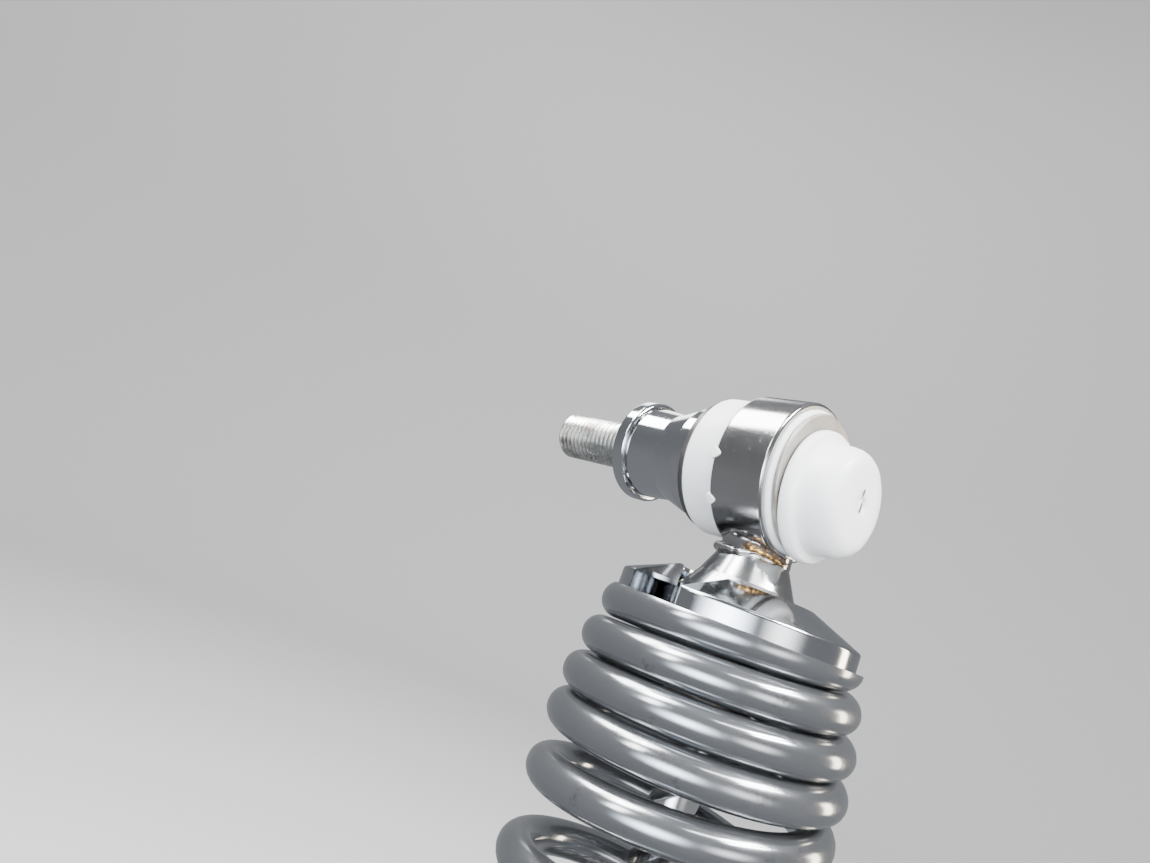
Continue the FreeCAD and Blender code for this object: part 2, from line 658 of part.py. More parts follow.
def preload_cam():
    """The preload cam: two flights of steps underneath, and notches for the spanner."""
    sweep = 360.0 / (CAM_STEPS * CAM_RAMPS)
    sectors = []
    for i in range(CAM_STEPS * CAM_RAMPS):
        step = i % CAM_STEPS
        height = "(sizes.cam_height - %d * sizes.cam_rise)" % step
        sector = cylinder("cam_sector_%d" % i, "sizes.cam_radius", height, ("0", "0", "-%s" % height),
                          about_z(sweep * i))
        sector.Angle = sweep
        sectors.append(sector)
    ramps = fused("cam_ramps", sectors)
    tools = [cylinder("cam_bore", RING_BORE, "2 * sizes.cam_height", ("0", "0", "-1.5 * sizes.cam_height"))]
    low = "-(sizes.cam_notch_height + sizes.seat_edge)"
    for i in range(CAM_NOTCHES):
        turn = about_z(360.0 * (i + 0.5) / CAM_NOTCHES)
        notch = block("cam_notch_%d" % i, "sizes.cam_radius", "sizes.cam_notch_width", "sizes.cam_notch_height",
                      ("0", "0", low), turn)
        # The notch starts this far out, and lies half each side of its own direction.
        out = turn.multVec(Vector(1, 0, 0))
        side = turn.multVec(Vector(0, 1, 0))
        reach = "(sizes.cam_radius - sizes.cam_notch_depth)"
        for axis, o, s in (("x", out.x, side.x), ("y", out.y, side.y)):
            notch.setExpression("Placement.Base." + axis,
                                "%s * %.12f - sizes.cam_notch_width / 2 * %.12f" % (reach, o, s))
        tools.append(notch)
    piece = cut("preload_cam", ramps, tools)
    place(piece, ("0", EYE_Y, "-%s" % CAM_TOP))
    return piece


def stop_collar():
    """The band round the tube, with a lug under each flight of the cam."""
    band = cylinder("collar_band", "sizes.band_radius", "sizes.band_height", ("0", "0", "-sizes.lug_height"))
    lugs = []
    sweep = 360.0 / (CAM_STEPS * CAM_RAMPS)
    for i in range(CAM_RAMPS):
        # Each lug stands under the middle of its flight's third step.
        turn = about_z(sweep * (2.5 + CAM_STEPS * i))
        side = turn.multVec(Vector(0, 1, 0))
        lug = block("collar_lug_%d" % i, "sizes.lug_reach", "sizes.lug_width", "sizes.lug_height",
                    ("-sizes.lug_width / 2 * %.12f" % side.x, "-sizes.lug_width / 2 * %.12f" % side.y,
                     "-sizes.lug_height"), turn)
        lugs.append(lug)
    bore = cylinder("collar_bore", "sizes.tube_radius", "2 * sizes.lug_height", ("0", "0", "-1.5 * sizes.lug_height"))
    piece = cut("stop_collar", fused("collar_solid", [band] + lugs), [bore])
    place(piece, ("0", EYE_Y, "-%s" % LUG_TOP))
    return piece


def pins_and_bushes():
    """The two bush halves and the sleeve of each eye."""
    rows = [
        # label, flange, height, rotation
        ("upper_bush_inboard", "sizes.upper_inboard_flange", "0", INBOARD),
        ("upper_bush_outboard", "sizes.upper_outboard_flange", "0", OUTBOARD),
        ("lower_bush_inboard", "sizes.lower_flange", "-sizes.eye_to_eye", INBOARD),
        ("lower_bush_outboard", "sizes.lower_flange", "-sizes.eye_to_eye", OUTBOARD),
    ]
    for label, flange, height, rotation in rows:
        bush_half(label, flange, ("0", EYE_Y, height), rotation)
    sleeve("upper_sleeve", "(sizes.shank_radius + sizes.running_gap)", SLEEVE_START, STACK_END,
           ("0", "0", "0"), OUTBOARD)
    reach = "(sizes.eye_width / 2 + sizes.lower_flange + sizes.lower_sleeve_past)"
    sleeve("lower_sleeve", "(sizes.stud_radius + 5 * sizes.running_gap)", "-%s" % reach, reach,
           ("0", EYE_Y, "-sizes.eye_to_eye"), OUTBOARD)


NODES = [
    "upper_stud", "upper_spacer", "upper_inner_washer", "upper_outer_washer", "upper_nut", "nut_cap", "upper_sleeve",
    "upper_eye", "upper_bush_inboard", "upper_bush_outboard", "spring_keeper", "damper_rod", "bump_stop",
    "coil_spring", "rod_gland", "damper_tube", "lower_spring_seat", "preload_cam", "stop_collar",
    "lower_eye", "lower_bush_inboard", "lower_bush_outboard", "lower_sleeve",
]


def main():
    """Builds every piece, checks it and writes it."""
    stud()
    spacer()
    washers()
    pins_and_bushes()
    nut()
    nut_cap()
    upper_eye()
    spring_keeper()
    damper_rod()
    bump_stop()
    coil_spring()
    rod_gland()
    damper_tube()
    lower_spring_seat()
    preload_cam()
    stop_collar()
    lower_eye()
    doc.recompute()
    failed = [o.Name for o in doc.Objects if "Invalid" in o.State or "Error" in o.State]
    if failed:
        raise RuntimeError("these objects failed: %s" % failed)
    os.makedirs("parts", exist_ok=True)
    pieces = {o.Label: o for o in doc.Objects}
    for node in NODES:
        shape = pieces[node].Shape
        if shape.isNull() or not shape.isValid() or not shape.Solids:
            raise RuntimeError("%s has no valid solid" % node)
        shape.exportStep("parts/%s.step" % node)
        box = shape.BoundBox
        print("%-20s solids %d volume %8.1f  x %.1f..%.1f y %.1f..%.1f z %.1f..%.1f" % (
            node, len(shape.Solids), shape.Volume, box.XMin, box.XMax, box.YMin, box.YMax, box.ZMin, box.ZMax))


main()
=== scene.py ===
"""Dresses the rear shock absorber: finishes, turned details, lights and camera."""

import json
import logging
import math
import random
from dataclasses import dataclass, field
from enum import Enum

import bpy
from mathutils import Matrix, Vector

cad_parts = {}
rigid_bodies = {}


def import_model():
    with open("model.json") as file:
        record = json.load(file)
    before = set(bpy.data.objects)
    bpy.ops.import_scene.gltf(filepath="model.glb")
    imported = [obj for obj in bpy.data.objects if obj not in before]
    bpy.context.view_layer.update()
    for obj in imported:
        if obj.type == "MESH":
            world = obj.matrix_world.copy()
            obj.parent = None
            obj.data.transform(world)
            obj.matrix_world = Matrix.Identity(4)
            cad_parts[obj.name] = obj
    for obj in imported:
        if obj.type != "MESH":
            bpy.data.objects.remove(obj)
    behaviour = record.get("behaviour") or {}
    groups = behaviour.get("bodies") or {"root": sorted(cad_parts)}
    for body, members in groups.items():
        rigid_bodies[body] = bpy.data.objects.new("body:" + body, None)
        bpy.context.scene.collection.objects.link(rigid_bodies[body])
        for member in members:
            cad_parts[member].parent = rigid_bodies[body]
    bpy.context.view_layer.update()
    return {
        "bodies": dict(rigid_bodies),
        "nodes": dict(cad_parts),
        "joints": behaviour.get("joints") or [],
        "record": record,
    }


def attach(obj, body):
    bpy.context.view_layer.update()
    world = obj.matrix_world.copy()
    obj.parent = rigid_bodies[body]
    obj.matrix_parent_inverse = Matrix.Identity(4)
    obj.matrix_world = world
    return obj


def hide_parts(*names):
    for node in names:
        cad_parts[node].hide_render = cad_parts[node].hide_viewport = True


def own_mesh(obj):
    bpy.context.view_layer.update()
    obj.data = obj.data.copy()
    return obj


logging.basicConfig(level=logging.INFO, format="%(message)s")
LOG = logging.getLogger("shock_absorber")

MM = 0.001
SMOOTH_ANGLE = math.radians(32)
WELD_GAP = 1e-6

Point = tuple[float, float, float]
Colour = tuple[float, float, float, float]
Piece = bpy.types.Object
Tree = bpy.types.ShaderNodeTree
Socket = bpy.types.NodeSocket


class Along(Enum):
    """The way a turned piece's own axis points in the frame."""

    UP = "up"
    OUTBOARD = "outboard"

    def matrix(self) -> Matrix:
        """The turn that brings the piece's own Z to this direction."""
        if self is Along.OUTBOARD:
            return Matrix.Rotation(math.pi / 2, 4, "X")
        return Matrix.Identity(4)


def colour(red: float, green: float, blue: float) -> Colour:
    """A colour with full opacity."""
    return (red, green, blue, 1.0)


def grey(level: float, warmth: float = 0.0) -> Colour:
    """A grey, with a little red added and blue taken away by its warmth."""
    return colour(level * (1 + warmth), level, level * (1 - warmth))


# Shader nodes and groups


def noise(tree: Tree, vector: Socket, scale: float, detail: float) -> Socket:
    """A noise texture on a vector, at a scale per metre."""
    node = tree.nodes.new("ShaderNodeTexNoise")
    node.inputs["Scale"].default_value = scale
    node.inputs["Detail"].default_value = detail
    tree.links.new(vector, node.inputs["Vector"])
    return node.outputs["Fac"]


def smooth_step(tree: Tree, source: Socket, low: float, high: float) -> Socket:
    """A smooth step from 0 at low to 1 at high."""
    node = tree.nodes.new("ShaderNodeMapRange")
    node.interpolation_type = "SMOOTHSTEP"
    node.inputs["From Min"].default_value = low
    node.inputs["From Max"].default_value = high
    tree.links.new(source, node.inputs["Value"])
    return node.outputs["Result"]


def calculate(tree: Tree, operation: str, *sources: object) -> Socket:
    """The result of a math node on sockets or numbers."""
    node = tree.nodes.new("ShaderNodeMath")
    node.operation = operation
    for socket, source in zip(node.inputs, sources):
        if isinstance(source, (int, float)):
            socket.default_value = source
        else:
            tree.links.new(source, socket)
    return node.outputs[0]


def mix_colours(tree: Tree, mask: Socket, base: object, over: Colour) -> Socket:
    """Lays a colour over another where a mask is 1.

    Args:
        tree: the node tree.
        mask: the socket that gives the mask.
        base: the colour under it, or the socket that gives it.
        over: the colour on top.

    Returns:
        The mixed colour's socket.
    """
    mix = tree.nodes.new("ShaderNodeMix")
    mix.data_type = "RGBA"
    mix.inputs["B"].default_value = over
    if isinstance(base, tuple):
        mix.inputs["A"].default_value = base
    else:
        tree.links.new(base, mix.inputs["A"])
    tree.links.new(mask, mix.inputs["Factor"])
    return mix.outputs["Result"]


class GroupKind(Enum):
    """The effects that more than one finish uses."""

    HANDLING = "handling marks"
    GRIME = "grime"
    BANDS = "turning marks"
    # painted shade: dark spots laid where a small recess would hold shadow
    MARK = "painted shade spot"


@dataclass
class GroupBook:
    """Builds each shader group once and places it in materials. Its scales are per metre."""

    smudge_scale: float = 90.0
    speck_scale: float = 900.0
    cloud_scale: float = 160.0
    grain_scale: float = 1500.0
    ring_scale: float = 1200.0
    scratches: tuple[tuple[float, Point], ...] = (
        (0.5, (260.0, 2600.0, 260.0)), (1.9, (2400.0, 300.0, 500.0)))
    made: dict[GroupKind, Tree] = field(default_factory=dict)

    def place(self, tree: Tree, kind: GroupKind, **values: float) -> bpy.types.Node:
        """Places a group in a material.

        Args:
            tree: the material's node tree.
            kind: which effect.
            **values: the group's inputs, with underscores for spaces.

        Returns:
            The group's node, its Vector input already on Object coordinates.
        """
        if kind not in self.made:
            builder = {
                GroupKind.HANDLING: self._handling,
                GroupKind.GRIME: self._grime,
                GroupKind.BANDS: self._bands,
                GroupKind.MARK: self._painted_shade_spot,
            }[kind]
            self.made[kind] = builder()
        node = tree.nodes.new("ShaderNodeGroup")
        node.node_tree = self.made[kind]
        coordinates = tree.nodes.new("ShaderNodeTexCoord")
        tree.links.new(coordinates.outputs["Object"], node.inputs["Vector"])
        for name, number in values.items():
            node.inputs[name.replace("_", " ")].default_value = number
        return node

    @staticmethod
    def _start(name: str, inputs: dict[str, float], outputs: list[str]) -> tuple:
        """Starts a group.

        Args:
            name: the group's name.
            inputs: its number inputs, with their defaults.
            outputs: its number outputs.

        Returns:
            The tree, its input node and its output node.
        """
        tree = bpy.data.node_groups.new(name, "ShaderNodeTree")
        tree.interface.new_socket("Vector", in_out="INPUT", socket_type="NodeSocketVector")
        for label, default in inputs.items():
            socket = tree.interface.new_socket(label, in_out="INPUT", socket_type="NodeSocketFloat")
            socket.default_value = default
        for label in outputs:
            tree.interface.new_socket(label, in_out="OUTPUT", socket_type="NodeSocketFloat")
        return tree, tree.nodes.new("NodeGroupInput"), tree.nodes.new("NodeGroupOutput")

    def _handling(self) -> Tree:
        """Smudges that vary the gloss, and hairline scratches in two directions."""
        inputs = {"Smudge": 1.0, "Scratch": 1.0}
        tree, entry, leave = self._start("handling marks", inputs, ["Gloss", "Height"])
        vector = entry.outputs["Vector"]
        clouds = smooth_step(tree, noise(tree, vector, self.smudge_scale, 4.0), 0.38, 0.72)
        specks = smooth_step(tree, noise(tree, vector, self.speck_scale, 6.0), 0.56, 0.72)
        both = calculate(tree, "MAXIMUM", clouds, specks)
        tree.links.new(calculate(tree, "MULTIPLY", both, entry.outputs["Smudge"]), leave.inputs["Gloss"])
        hairs = []
        for turn, stretch in self.scratches:
            mapping = tree.nodes.new("ShaderNodeMapping")
            mapping.inputs["Rotation"].default_value = (0.4, turn, 0.2)
            mapping.inputs["Scale"].default_value = stretch
            tree.links.new(vector, mapping.inputs["Vector"])
            hairs.append(smooth_step(tree, noise(tree, mapping.outputs["Vector"], 1.0, 2.0), 0.66, 0.74))
        total = calculate(tree, "ADD", *hairs)
        tree.links.new(calculate(tree, "MULTIPLY", total, entry.outputs["Scratch"]), leave.inputs["Height"])
        return tree

    def _grime(self) -> Tree:
        """Broken patches of dirt: a broad cloud cut up by fine grain."""
        tree, entry, leave = self._start("grime", {"Amount": 0.5}, ["Mask", "Height"])
        cloud = noise(tree, entry.outputs["Vector"], self.cloud_scale, 5.0)
        grain = noise(tree, entry.outputs["Vector"], self.grain_scale, 3.0)
        mixed = calculate(tree, "MULTIPLY_ADD", grain, 0.35, cloud)
        edge = calculate(tree, "SUBTRACT", 1.15, entry.outputs["Amount"])
        above = calculate(tree, "SUBTRACT", mixed, edge)
        tree.links.new(smooth_step(tree, above, -0.06, 0.12), leave.inputs["Mask"])
        tree.links.new(grain, leave.inputs["Height"])
        return tree

    def _bands(self) -> Tree:
        """Fine rings about the shock's own axis, as a lathe leaves."""
        tree, entry, leave = self._start("turning marks", {}, ["Height"])
        wave = tree.nodes.new("ShaderNodeTexWave")
        wave.bands_direction = "Z"
        wave.inputs["Scale"].default_value = self.ring_scale
        wave.inputs["Distortion"].default_value = 0.6
        wave.inputs["Detail"].default_value = 2.0
        tree.links.new(entry.outputs["Vector"], wave.inputs["Vector"])
        tree.links.new(wave.outputs["Fac"], leave.inputs["Height"])
        return tree

    def _painted_shade_spot(self) -> Tree:
        """A ragged spot of painted shade, of radius 1 about the origin of its vector."""
        tree, entry, leave = self._start("painted shade spot", {}, ["Mask"])
        length = tree.nodes.new("ShaderNodeVectorMath")
        length.operation = "LENGTH"
        tree.links.new(entry.outputs["Vector"], length.inputs[0])
        ragged = noise(tree, entry.outputs["Vector"], 1.6, 4.0)
        spread = calculate(tree, "MULTIPLY_ADD", ragged, 0.9, length.outputs["Value"])
        tree.links.new(smooth_step(tree, spread, 1.35, 1.05), leave.inputs["Mask"])
        return tree


# Finishes


@dataclass(frozen=True)
class PaintedShadeSpot:
    """A spot of painted shade on a finish, dark where a small recess would hold shadow, with its place and
    half sizes in millimetres.
    """

    place: Point
    size: Point
    turn: float = 0.0


@dataclass(frozen=True)
class Finish:
    """A finish of one material: what its surface is, and how it is worn.

    Gloss is the roughness where it is clean and where it is smudged. Scratch and grime are how
    much there is, and its depth in millimetres.
    """

    name: str
    base: Colour
    dirt: Colour
    slot: str
    metallic: float = 0.0
    gloss: tuple[float, float] = (0.3, 0.5)
    smudge: float = 1.0
    scratch: tuple[float, float] = (0.3, 0.02)
    grime: tuple[float, float] = (0.4, 0.03)
    coat: float = 0.0
    coat_roughness: float = 0.05
    specular: float = 0.5
    turning: float = 0.0
    # marks are spots of painted shade, each laid in one dark colour
    marks: tuple[PaintedShadeSpot, ...] = ()
    painted_shade_colour: Colour = (0.05, 0.05, 0.05, 1.0)

    def build(self, book: GroupBook) -> bpy.types.Material:
        """Makes the material.

        Args:
            book: where the shader groups come from.

        Returns:
            The material, ready to assign.
        """
        material = bpy.data.materials.new(self.name)
        material.use_nodes = True
        tree = material.node_tree
        shader = tree.nodes["Principled BSDF"]
        for label, number in (("Metallic", self.metallic), ("Specular IOR Level", self.specular),
                              ("Coat Weight", self.coat), ("Coat Roughness", self.coat_roughness)):
            shader.inputs[label].default_value = number
        marks = book.place(tree, GroupKind.HANDLING, Smudge=self.smudge, Scratch=self.scratch[0])
        grime = book.place(tree, GroupKind.GRIME, Amount=self.grime[0])
        dirty = mix_colours(tree, grime.outputs["Mask"], self.base, self.dirt)
        # the grime, then the spots of painted shade, go into the base colour
        tree.links.new(self._with_painted_shade(tree, book, dirty), shader.inputs["Base Color"])
        rough = tree.nodes.new("ShaderNodeMapRange")
        rough.inputs["To Min"].default_value = self.gloss[0]
        rough.inputs["To Max"].default_value = self.gloss[1]
        tree.links.new(marks.outputs["Gloss"], rough.inputs["Value"])
        tree.links.new(rough.outputs["Result"], shader.inputs["Roughness"])
        normal = self._bump(tree, marks.outputs["Height"], self.scratch[1], None)
        normal = self._bump(tree, grime.outputs["Height"], self.grime[1], normal)
        if self.turning:
            bands = book.place(tree, GroupKind.BANDS)
            normal = self._bump(tree, bands.outputs["Height"], self.turning, normal)
        tree.links.new(normal, shader.inputs["Normal"])
        return material

    def _with_painted_shade(self, tree: Tree, book: GroupBook, base: Socket) -> Socket:
        """Lays the spots of painted shade over a colour.

        Args:
            tree: the material's tree.
            book: where the shader groups come from.
            base: the colour's socket.

        Returns:
            The marked colour's socket.
        """
        # each spot of painted shade darkens the colour inside its ragged outline
        for mark in self.marks:
            spot = book.place(tree, GroupKind.MARK)
            coordinates = spot.inputs["Vector"].links[0].from_socket
            mapping = tree.nodes.new("ShaderNodeMapping")
            mapping.vector_type = "TEXTURE"
            mapping.inputs["Location"].default_value = Vector(mark.place) * MM
            mapping.inputs["Rotation"].default_value = (0, math.radians(mark.turn), 0)
            mapping.inputs["Scale"].default_value = Vector(mark.size) * MM
            tree.links.new(coordinates, mapping.inputs["Vector"])
            tree.links.new(mapping.outputs["Vector"], spot.inputs["Vector"])
            base = mix_colours(tree, spot.outputs["Mask"], base, self.painted_shade_colour)
        return base

    @staticmethod
    def _bump(tree: Tree, height: Socket, depth: float, below: Socket | None) -> Socket:
        """Adds a bump of a depth in millimetres on top of another normal.

        Args:
            tree: the material's tree.
            height: the socket that gives the height.
            depth: how deep it goes, in millimetres.
            below: the normal under it, or None.

        Returns:
            The bump's normal socket.
        """
        node = tree.nodes.new("ShaderNodeBump")
        node.inputs["Strength"].default_value = 1.0
        node.inputs["Distance"].default_value = depth * MM
        tree.links.new(height, node.inputs["Height"])
        if below is not None:
            tree.links.new(below, node.inputs["Normal"])
        return node.outputs["Normal"]


BRIGHT_CHROME = Finish(
    "bright chrome", colour(0.54, 0.555, 0.575), grey(0.4, 0.04), metallic=1.0, gloss=(0.05, 0.14),
    scratch=(0.25, 0.003), grime=(0.24, 0.001), slot="chrome_keeper")
EYE_CHROME = Finish(
    "eye chrome", grey(0.46), grey(0.3, 0.05), metallic=1.0, gloss=(0.13, 0.25), scratch=(0.3, 0.004),
    grime=(0.24, 0.002), slot="chrome_eye")
ROD_CHROME = Finish(
    "hard chrome", grey(0.74), grey(0.6, 0.02), metallic=1.0, gloss=(0.03, 0.09), scratch=(0.1, 0.002),
    grime=(0.2, 0.001), slot="chrome_rod")
SPRING_GREY = Finish(
    "spring gunmetal", colour(0.295, 0.306, 0.32), grey(0.17, 0.04), metallic=0.9, gloss=(0.16, 0.26),
    smudge=0.7, scratch=(0.2, 0.0015), grime=(0.3, 0.0015), coat=0.6, slot="spring_finish")
BUSH_WHITE = Finish(
    "white polyurethane", grey(0.86), grey(0.62, 0.06), gloss=(0.34, 0.52), scratch=(0.2, 0.008),
    grime=(0.24, 0.006), specular=0.45, slot="white_bush")
# The cap's two marks are painted shade: dark spots on its end where a small recess would hold shadow.
CAP_WHITE = Finish(
    "white moulded cap", grey(0.93), grey(0.78, 0.03), gloss=(0.3, 0.45), scratch=(0.15, 0.006),
    grime=(0.2, 0.004), slot="white_cap",
    marks=(PaintedShadeSpot((-1.1, -59.0, 0.2), (0.6, 1.4, 1.3), 12.0), PaintedShadeSpot((0.5, -59.0, -2.6), (0.85, 1.4, 1.9), 8.0)))
ZINC = Finish(
    "zinc plate", colour(0.6, 0.6, 0.58), grey(0.3, 0.1), metallic=1.0, gloss=(0.26, 0.42),
    scratch=(0.5, 0.01), grime=(0.4, 0.01), slot="zinc_steel")
WASHER_GREY = Finish(
    "weathered zinc", colour(0.44, 0.42, 0.385), grey(0.34, 0.08), metallic=0.8, gloss=(0.42, 0.6),
    scratch=(0.5, 0.01), grime=(0.44, 0.01), slot="zinc_steel")
DARK_STEEL = Finish(
    "blackened steel", grey(0.045, 0.02), grey(0.075, 0.08), metallic=0.3, gloss=(0.34, 0.55),
    scratch=(0.4, 0.01), grime=(0.44, 0.02), slot="dark_steel")
TUBE_BLACK = Finish(
    "gloss black enamel", grey(0.018), grey(0.07, 0.1), gloss=(0.1, 0.26), scratch=(0.3, 0.005),
    grime=(0.34, 0.004), coat=0.8, slot="tube_paint")
STOP_RUBBER = Finish(
    "stop rubber", grey(0.024), grey(0.07, 0.08), gloss=(0.55, 0.75), scratch=(0.1, 0.01),
    grime=(0.44, 0.03), slot="stop_rubber")
GLAND_ALLOY = Finish(
    "turned alloy", colour(0.56, 0.56, 0.57), grey(0.3, 0.08), metallic=1.0, gloss=(0.25, 0.4),
    scratch=(0.3, 0.008), grime=(0.34, 0.006), turning=0.004, slot="gland_alloy")
BRAZE = Finish(
    "braze bead", colour(0.7, 0.42, 0.16), colour(0.38, 0.22, 0.1), metallic=1.0, gloss=(0.2, 0.4),
    scratch=(0.1, 0.01), grime=(0.42, 0.02), slot="chrome_eye")
BURNT_FLUX = Finish(
    "burnt flux", colour(0.16, 0.105, 0.07), colour(0.07, 0.05, 0.04), metallic=0.6, gloss=(0.35, 0.6),
    scratch=(0.1, 0.01), grime=(0.5, 0.03), slot="chrome_eye")
WELD = Finish(
    "weld bead", grey(0.5, 0.02), grey(0.25, 0.1), metallic=1.0, gloss=(0.14, 0.3), scratch=(0.1, 0.008),
    grime=(0.34, 0.01), slot="chrome_eye")

NODE_FINISHES: dict[Finish, tuple[str, ...]] = {
    ZINC: ("upper_stud", "upper_nut", "upper_sleeve", "lower_sleeve"),
    BRIGHT_CHROME: ("upper_spacer", "spring_keeper", "lower_spring_seat"),
    DARK_STEEL: ("upper_inner_washer", "preload_cam"),
    WASHER_GREY: ("upper_outer_washer",),
    CAP_WHITE: ("nut_cap",),
    EYE_CHROME: ("upper_eye", "lower_eye"),
    BUSH_WHITE: ("upper_bush_inboard", "upper_bush_outboard", "lower_bush_inboard", "lower_bush_outboard"),
    ROD_CHROME: ("damper_rod",),
    STOP_RUBBER: ("bump_stop",),
    SPRING_GREY: ("coil_spring",),
    GLAND_ALLOY: ("rod_gland",),
    TUBE_BLACK: ("damper_tube", "stop_collar"),
}


@dataclass
class Paintbox:
    """Keeps one material for each finish."""

    book: GroupBook = field(default_factory=GroupBook)
    made: dict[str, bpy.types.Material] = field(default_factory=dict)

    def apply(self, piece: Piece, finish: Finish) -> None:
        """Gives a piece one finish all over."""
        if finish.name not in self.made:
            self.made[finish.name] = finish.build(self.book)
        piece.data.materials.clear()
        piece.data.materials.append(self.made[finish.name])


# Modelling by hand


def deselect_all() -> None:
    """Leaves nothing selected, no object in edit mode, and edit mode set to points."""
    if bpy.context.object is not None and bpy.context.object.mode != "OBJECT":
        bpy.ops.object.mode_set(mode="OBJECT")
    bpy.ops.object.select_all(action="DESELECT")
    bpy.context.tool_settings.mesh_select_mode = (True, False, False)


def edit() -> None:
    """Goes into edit mode with all of the active mesh selected."""
    bpy.ops.object.mode_set(mode="EDIT")
    bpy.ops.mesh.select_all(action="SELECT")


def extrude(x: float, y: float, z: float) -> None:
    """Extrudes what is selected in edit mode and moves it, in millimetres."""
    bpy.ops.mesh.extrude_region_move(TRANSFORM_OT_translate={"value": (x * MM, y * MM, z * MM)})


def circle(vertices: int, radius: float, place: Point = (0.0, 0.0, 0.0), tilt: float = 0.0) -> Piece:
    """Adds a circle without a face and puts its place in its mesh.

    Args:
        vertices: how many points it has.
        radius: its radius in metres.
        place: its middle in metres.
        tilt: its turn about X in radians.

    Returns:
        The circle.
    """
    deselect_all()
    bpy.ops.mesh.primitive_circle_add(vertices=vertices, radius=radius, fill_type="NOTHING",
                                      location=place, rotation=(tilt, 0, 0))
    bpy.ops.object.transform_apply(location=True, rotation=True, scale=True)
    return bpy.context.object


def trim(axis: Point, *cuts: tuple[float, bool]) -> None:
    """Cuts the active mesh off flat at places along an axis.

    Args:
        axis: the axis, of length 1.
        *cuts: each place in millimetres, and whether what is above it goes.
    """
    for place, above in cuts:
        edit()
        bpy.ops.mesh.bisect(plane_co=Vector(axis) * place * MM, plane_no=axis, use_fill=True,
                            clear_inner=not above, clear_outer=above)


def modify(piece: Piece, kind: str, **settings: object) -> None:
    """Adds a modifier with its settings to the active piece and applies it."""
    modifier = piece.modifiers.new(kind.lower(), kind)
    for name, setting in settings.items():
        setattr(modifier, name, setting)
    bpy.ops.object.modifier_apply(modifier=modifier.name)


def moved(place: Point) -> Matrix:
    """The move to a place in millimetres."""
    return Matrix.Translation(Vector(place) * MM)


def settle(piece: Piece, name: str, place: Matrix = Matrix.Identity(4)) -> Piece:
    """Names a piece, puts its place in its mesh and smooths it.

    Args:
        piece: the active object.
        name: its name.
        place: where it goes in the frame.

    Returns:
        The piece, its object at the origin.
    """
    bpy.ops.object.mode_set(mode="OBJECT")
    piece.name = name
    piece.data.name = name
    piece.matrix_world = place @ piece.matrix_world
    bpy.ops.object.transform_apply(location=True, rotation=True, scale=True)
    edit()
    bpy.ops.mesh.remove_doubles(threshold=WELD_GAP)
    bpy.ops.mesh.normals_make_consistent(inside=False)
    bpy.ops.object.mode_set(mode="OBJECT")
    bpy.ops.object.shade_smooth_by_angle(angle=SMOOTH_ANGLE)
    return piece


@dataclass
class Turning:
    """A turned piece: a circle that is extruded and resized from ring to ring.

    Its profile is a list of (radius, height) in millimetres about its own Z axis. A profile
    that starts and ends at radius 0 is closed by its poles; any other joins its two ends.
    """

    name: str
    profile: list[tuple[float, float]]
    along: Along = Along.UP
    at: Point = (0.0, 0.0, 0.0)
    segments: int = 96

    def model(self) -> Piece:
        """Turns the piece.

        Returns:
            The piece, its object at the origin.
        """
        solid = self.profile[0][0] == 0
        rings = self.profile[1:-1] if solid else self.profile + self.profile[:1]
        radius, height = rings[0]
        piece = circle(self.segments, radius * MM, (0, 0, height * MM))
        edit()
        for (r0, h0), (r1, h1) in zip(rings, rings[1:]):
            extrude(0, 0, h1 - h0)
            if r1 != r0:
                bpy.ops.transform.resize(value=(r1 / r0, r1 / r0, 1), center_override=(0, 0, h1 * MM))
        if solid:
            self._pole(piece, rings[-1], self.profile[-1][1])
            self._pole(piece, rings[0], self.profile[0][1])
        return settle(piece, self.name, moved(self.at) @ self.along.matrix())

    def _pole(self, piece: Piece, end: tuple[float, float], height: float) -> None:
        """Closes an end ring to a point on the axis.

        Args:
            piece: the piece in edit mode.
            end: the end ring's radius and height.
            height: the point's height.
        """
        bpy.ops.mesh.select_all(action="DESELECT")
        bpy.ops.object.mode_set(mode="OBJECT")
        for vertex in piece.data.vertices:
            off = Vector((vertex.co.xy.length, vertex.co.z)) - Vector(end) * MM
            vertex.select = off.length < WELD_GAP
        bpy.ops.object.mode_set(mode="EDIT")
        extrude(0, 0, height - end[1])
        bpy.ops.mesh.merge(type="CENTER")


@dataclass
class Thread:
    """A right-handed thread on a rod: one V of its profile, swept by a Screw modifier."""

    name: str
    outer: float
    depth: float
    pitch: float
    low: float
    high: float
    along: Along = Along.UP
    crest: float = 0.14
    segments: int = 48

    def model(self) -> Piece:
        """Cuts the thread and closes both its ends flat.

        Returns:
            The piece, its object at the origin.
        """
        piece = circle(4, self.outer * MM)
        edit()
        bpy.ops.mesh.merge(type="CENTER")
        flat = self.pitch * self.crest
        start = self.low - 1.5 * self.pitch
        steps = [
            (self.outer, start),
            (self.outer, start + flat),
            (self.outer - self.depth, start + self.pitch / 2),
            (self.outer - self.depth, start + self.pitch / 2 + flat / 2),
            (self.outer, start + self.pitch),
        ]
        bpy.ops.transform.translate(value=(steps[0][0] * MM, 0, steps[0][1] * MM))
        for (r0, h0), (r1, h1) in zip(steps, steps[1:]):
            extrude(r1 - r0, 0, h1 - h0)
        bpy.ops.object.mode_set(mode="OBJECT")
        modify(piece, "SCREW", axis="Z", steps=self.segments, render_steps=self.segments,
               screw_offset=self.pitch * MM, iterations=math.ceil((self.high - self.low) / self.pitch) + 2,
               use_merge_vertices=True, merge_threshold=WELD_GAP / 10)
        trim((0, 0, 1), (self.low, False), (self.high, True))
        return settle(piece, self.name, self.along.matrix())


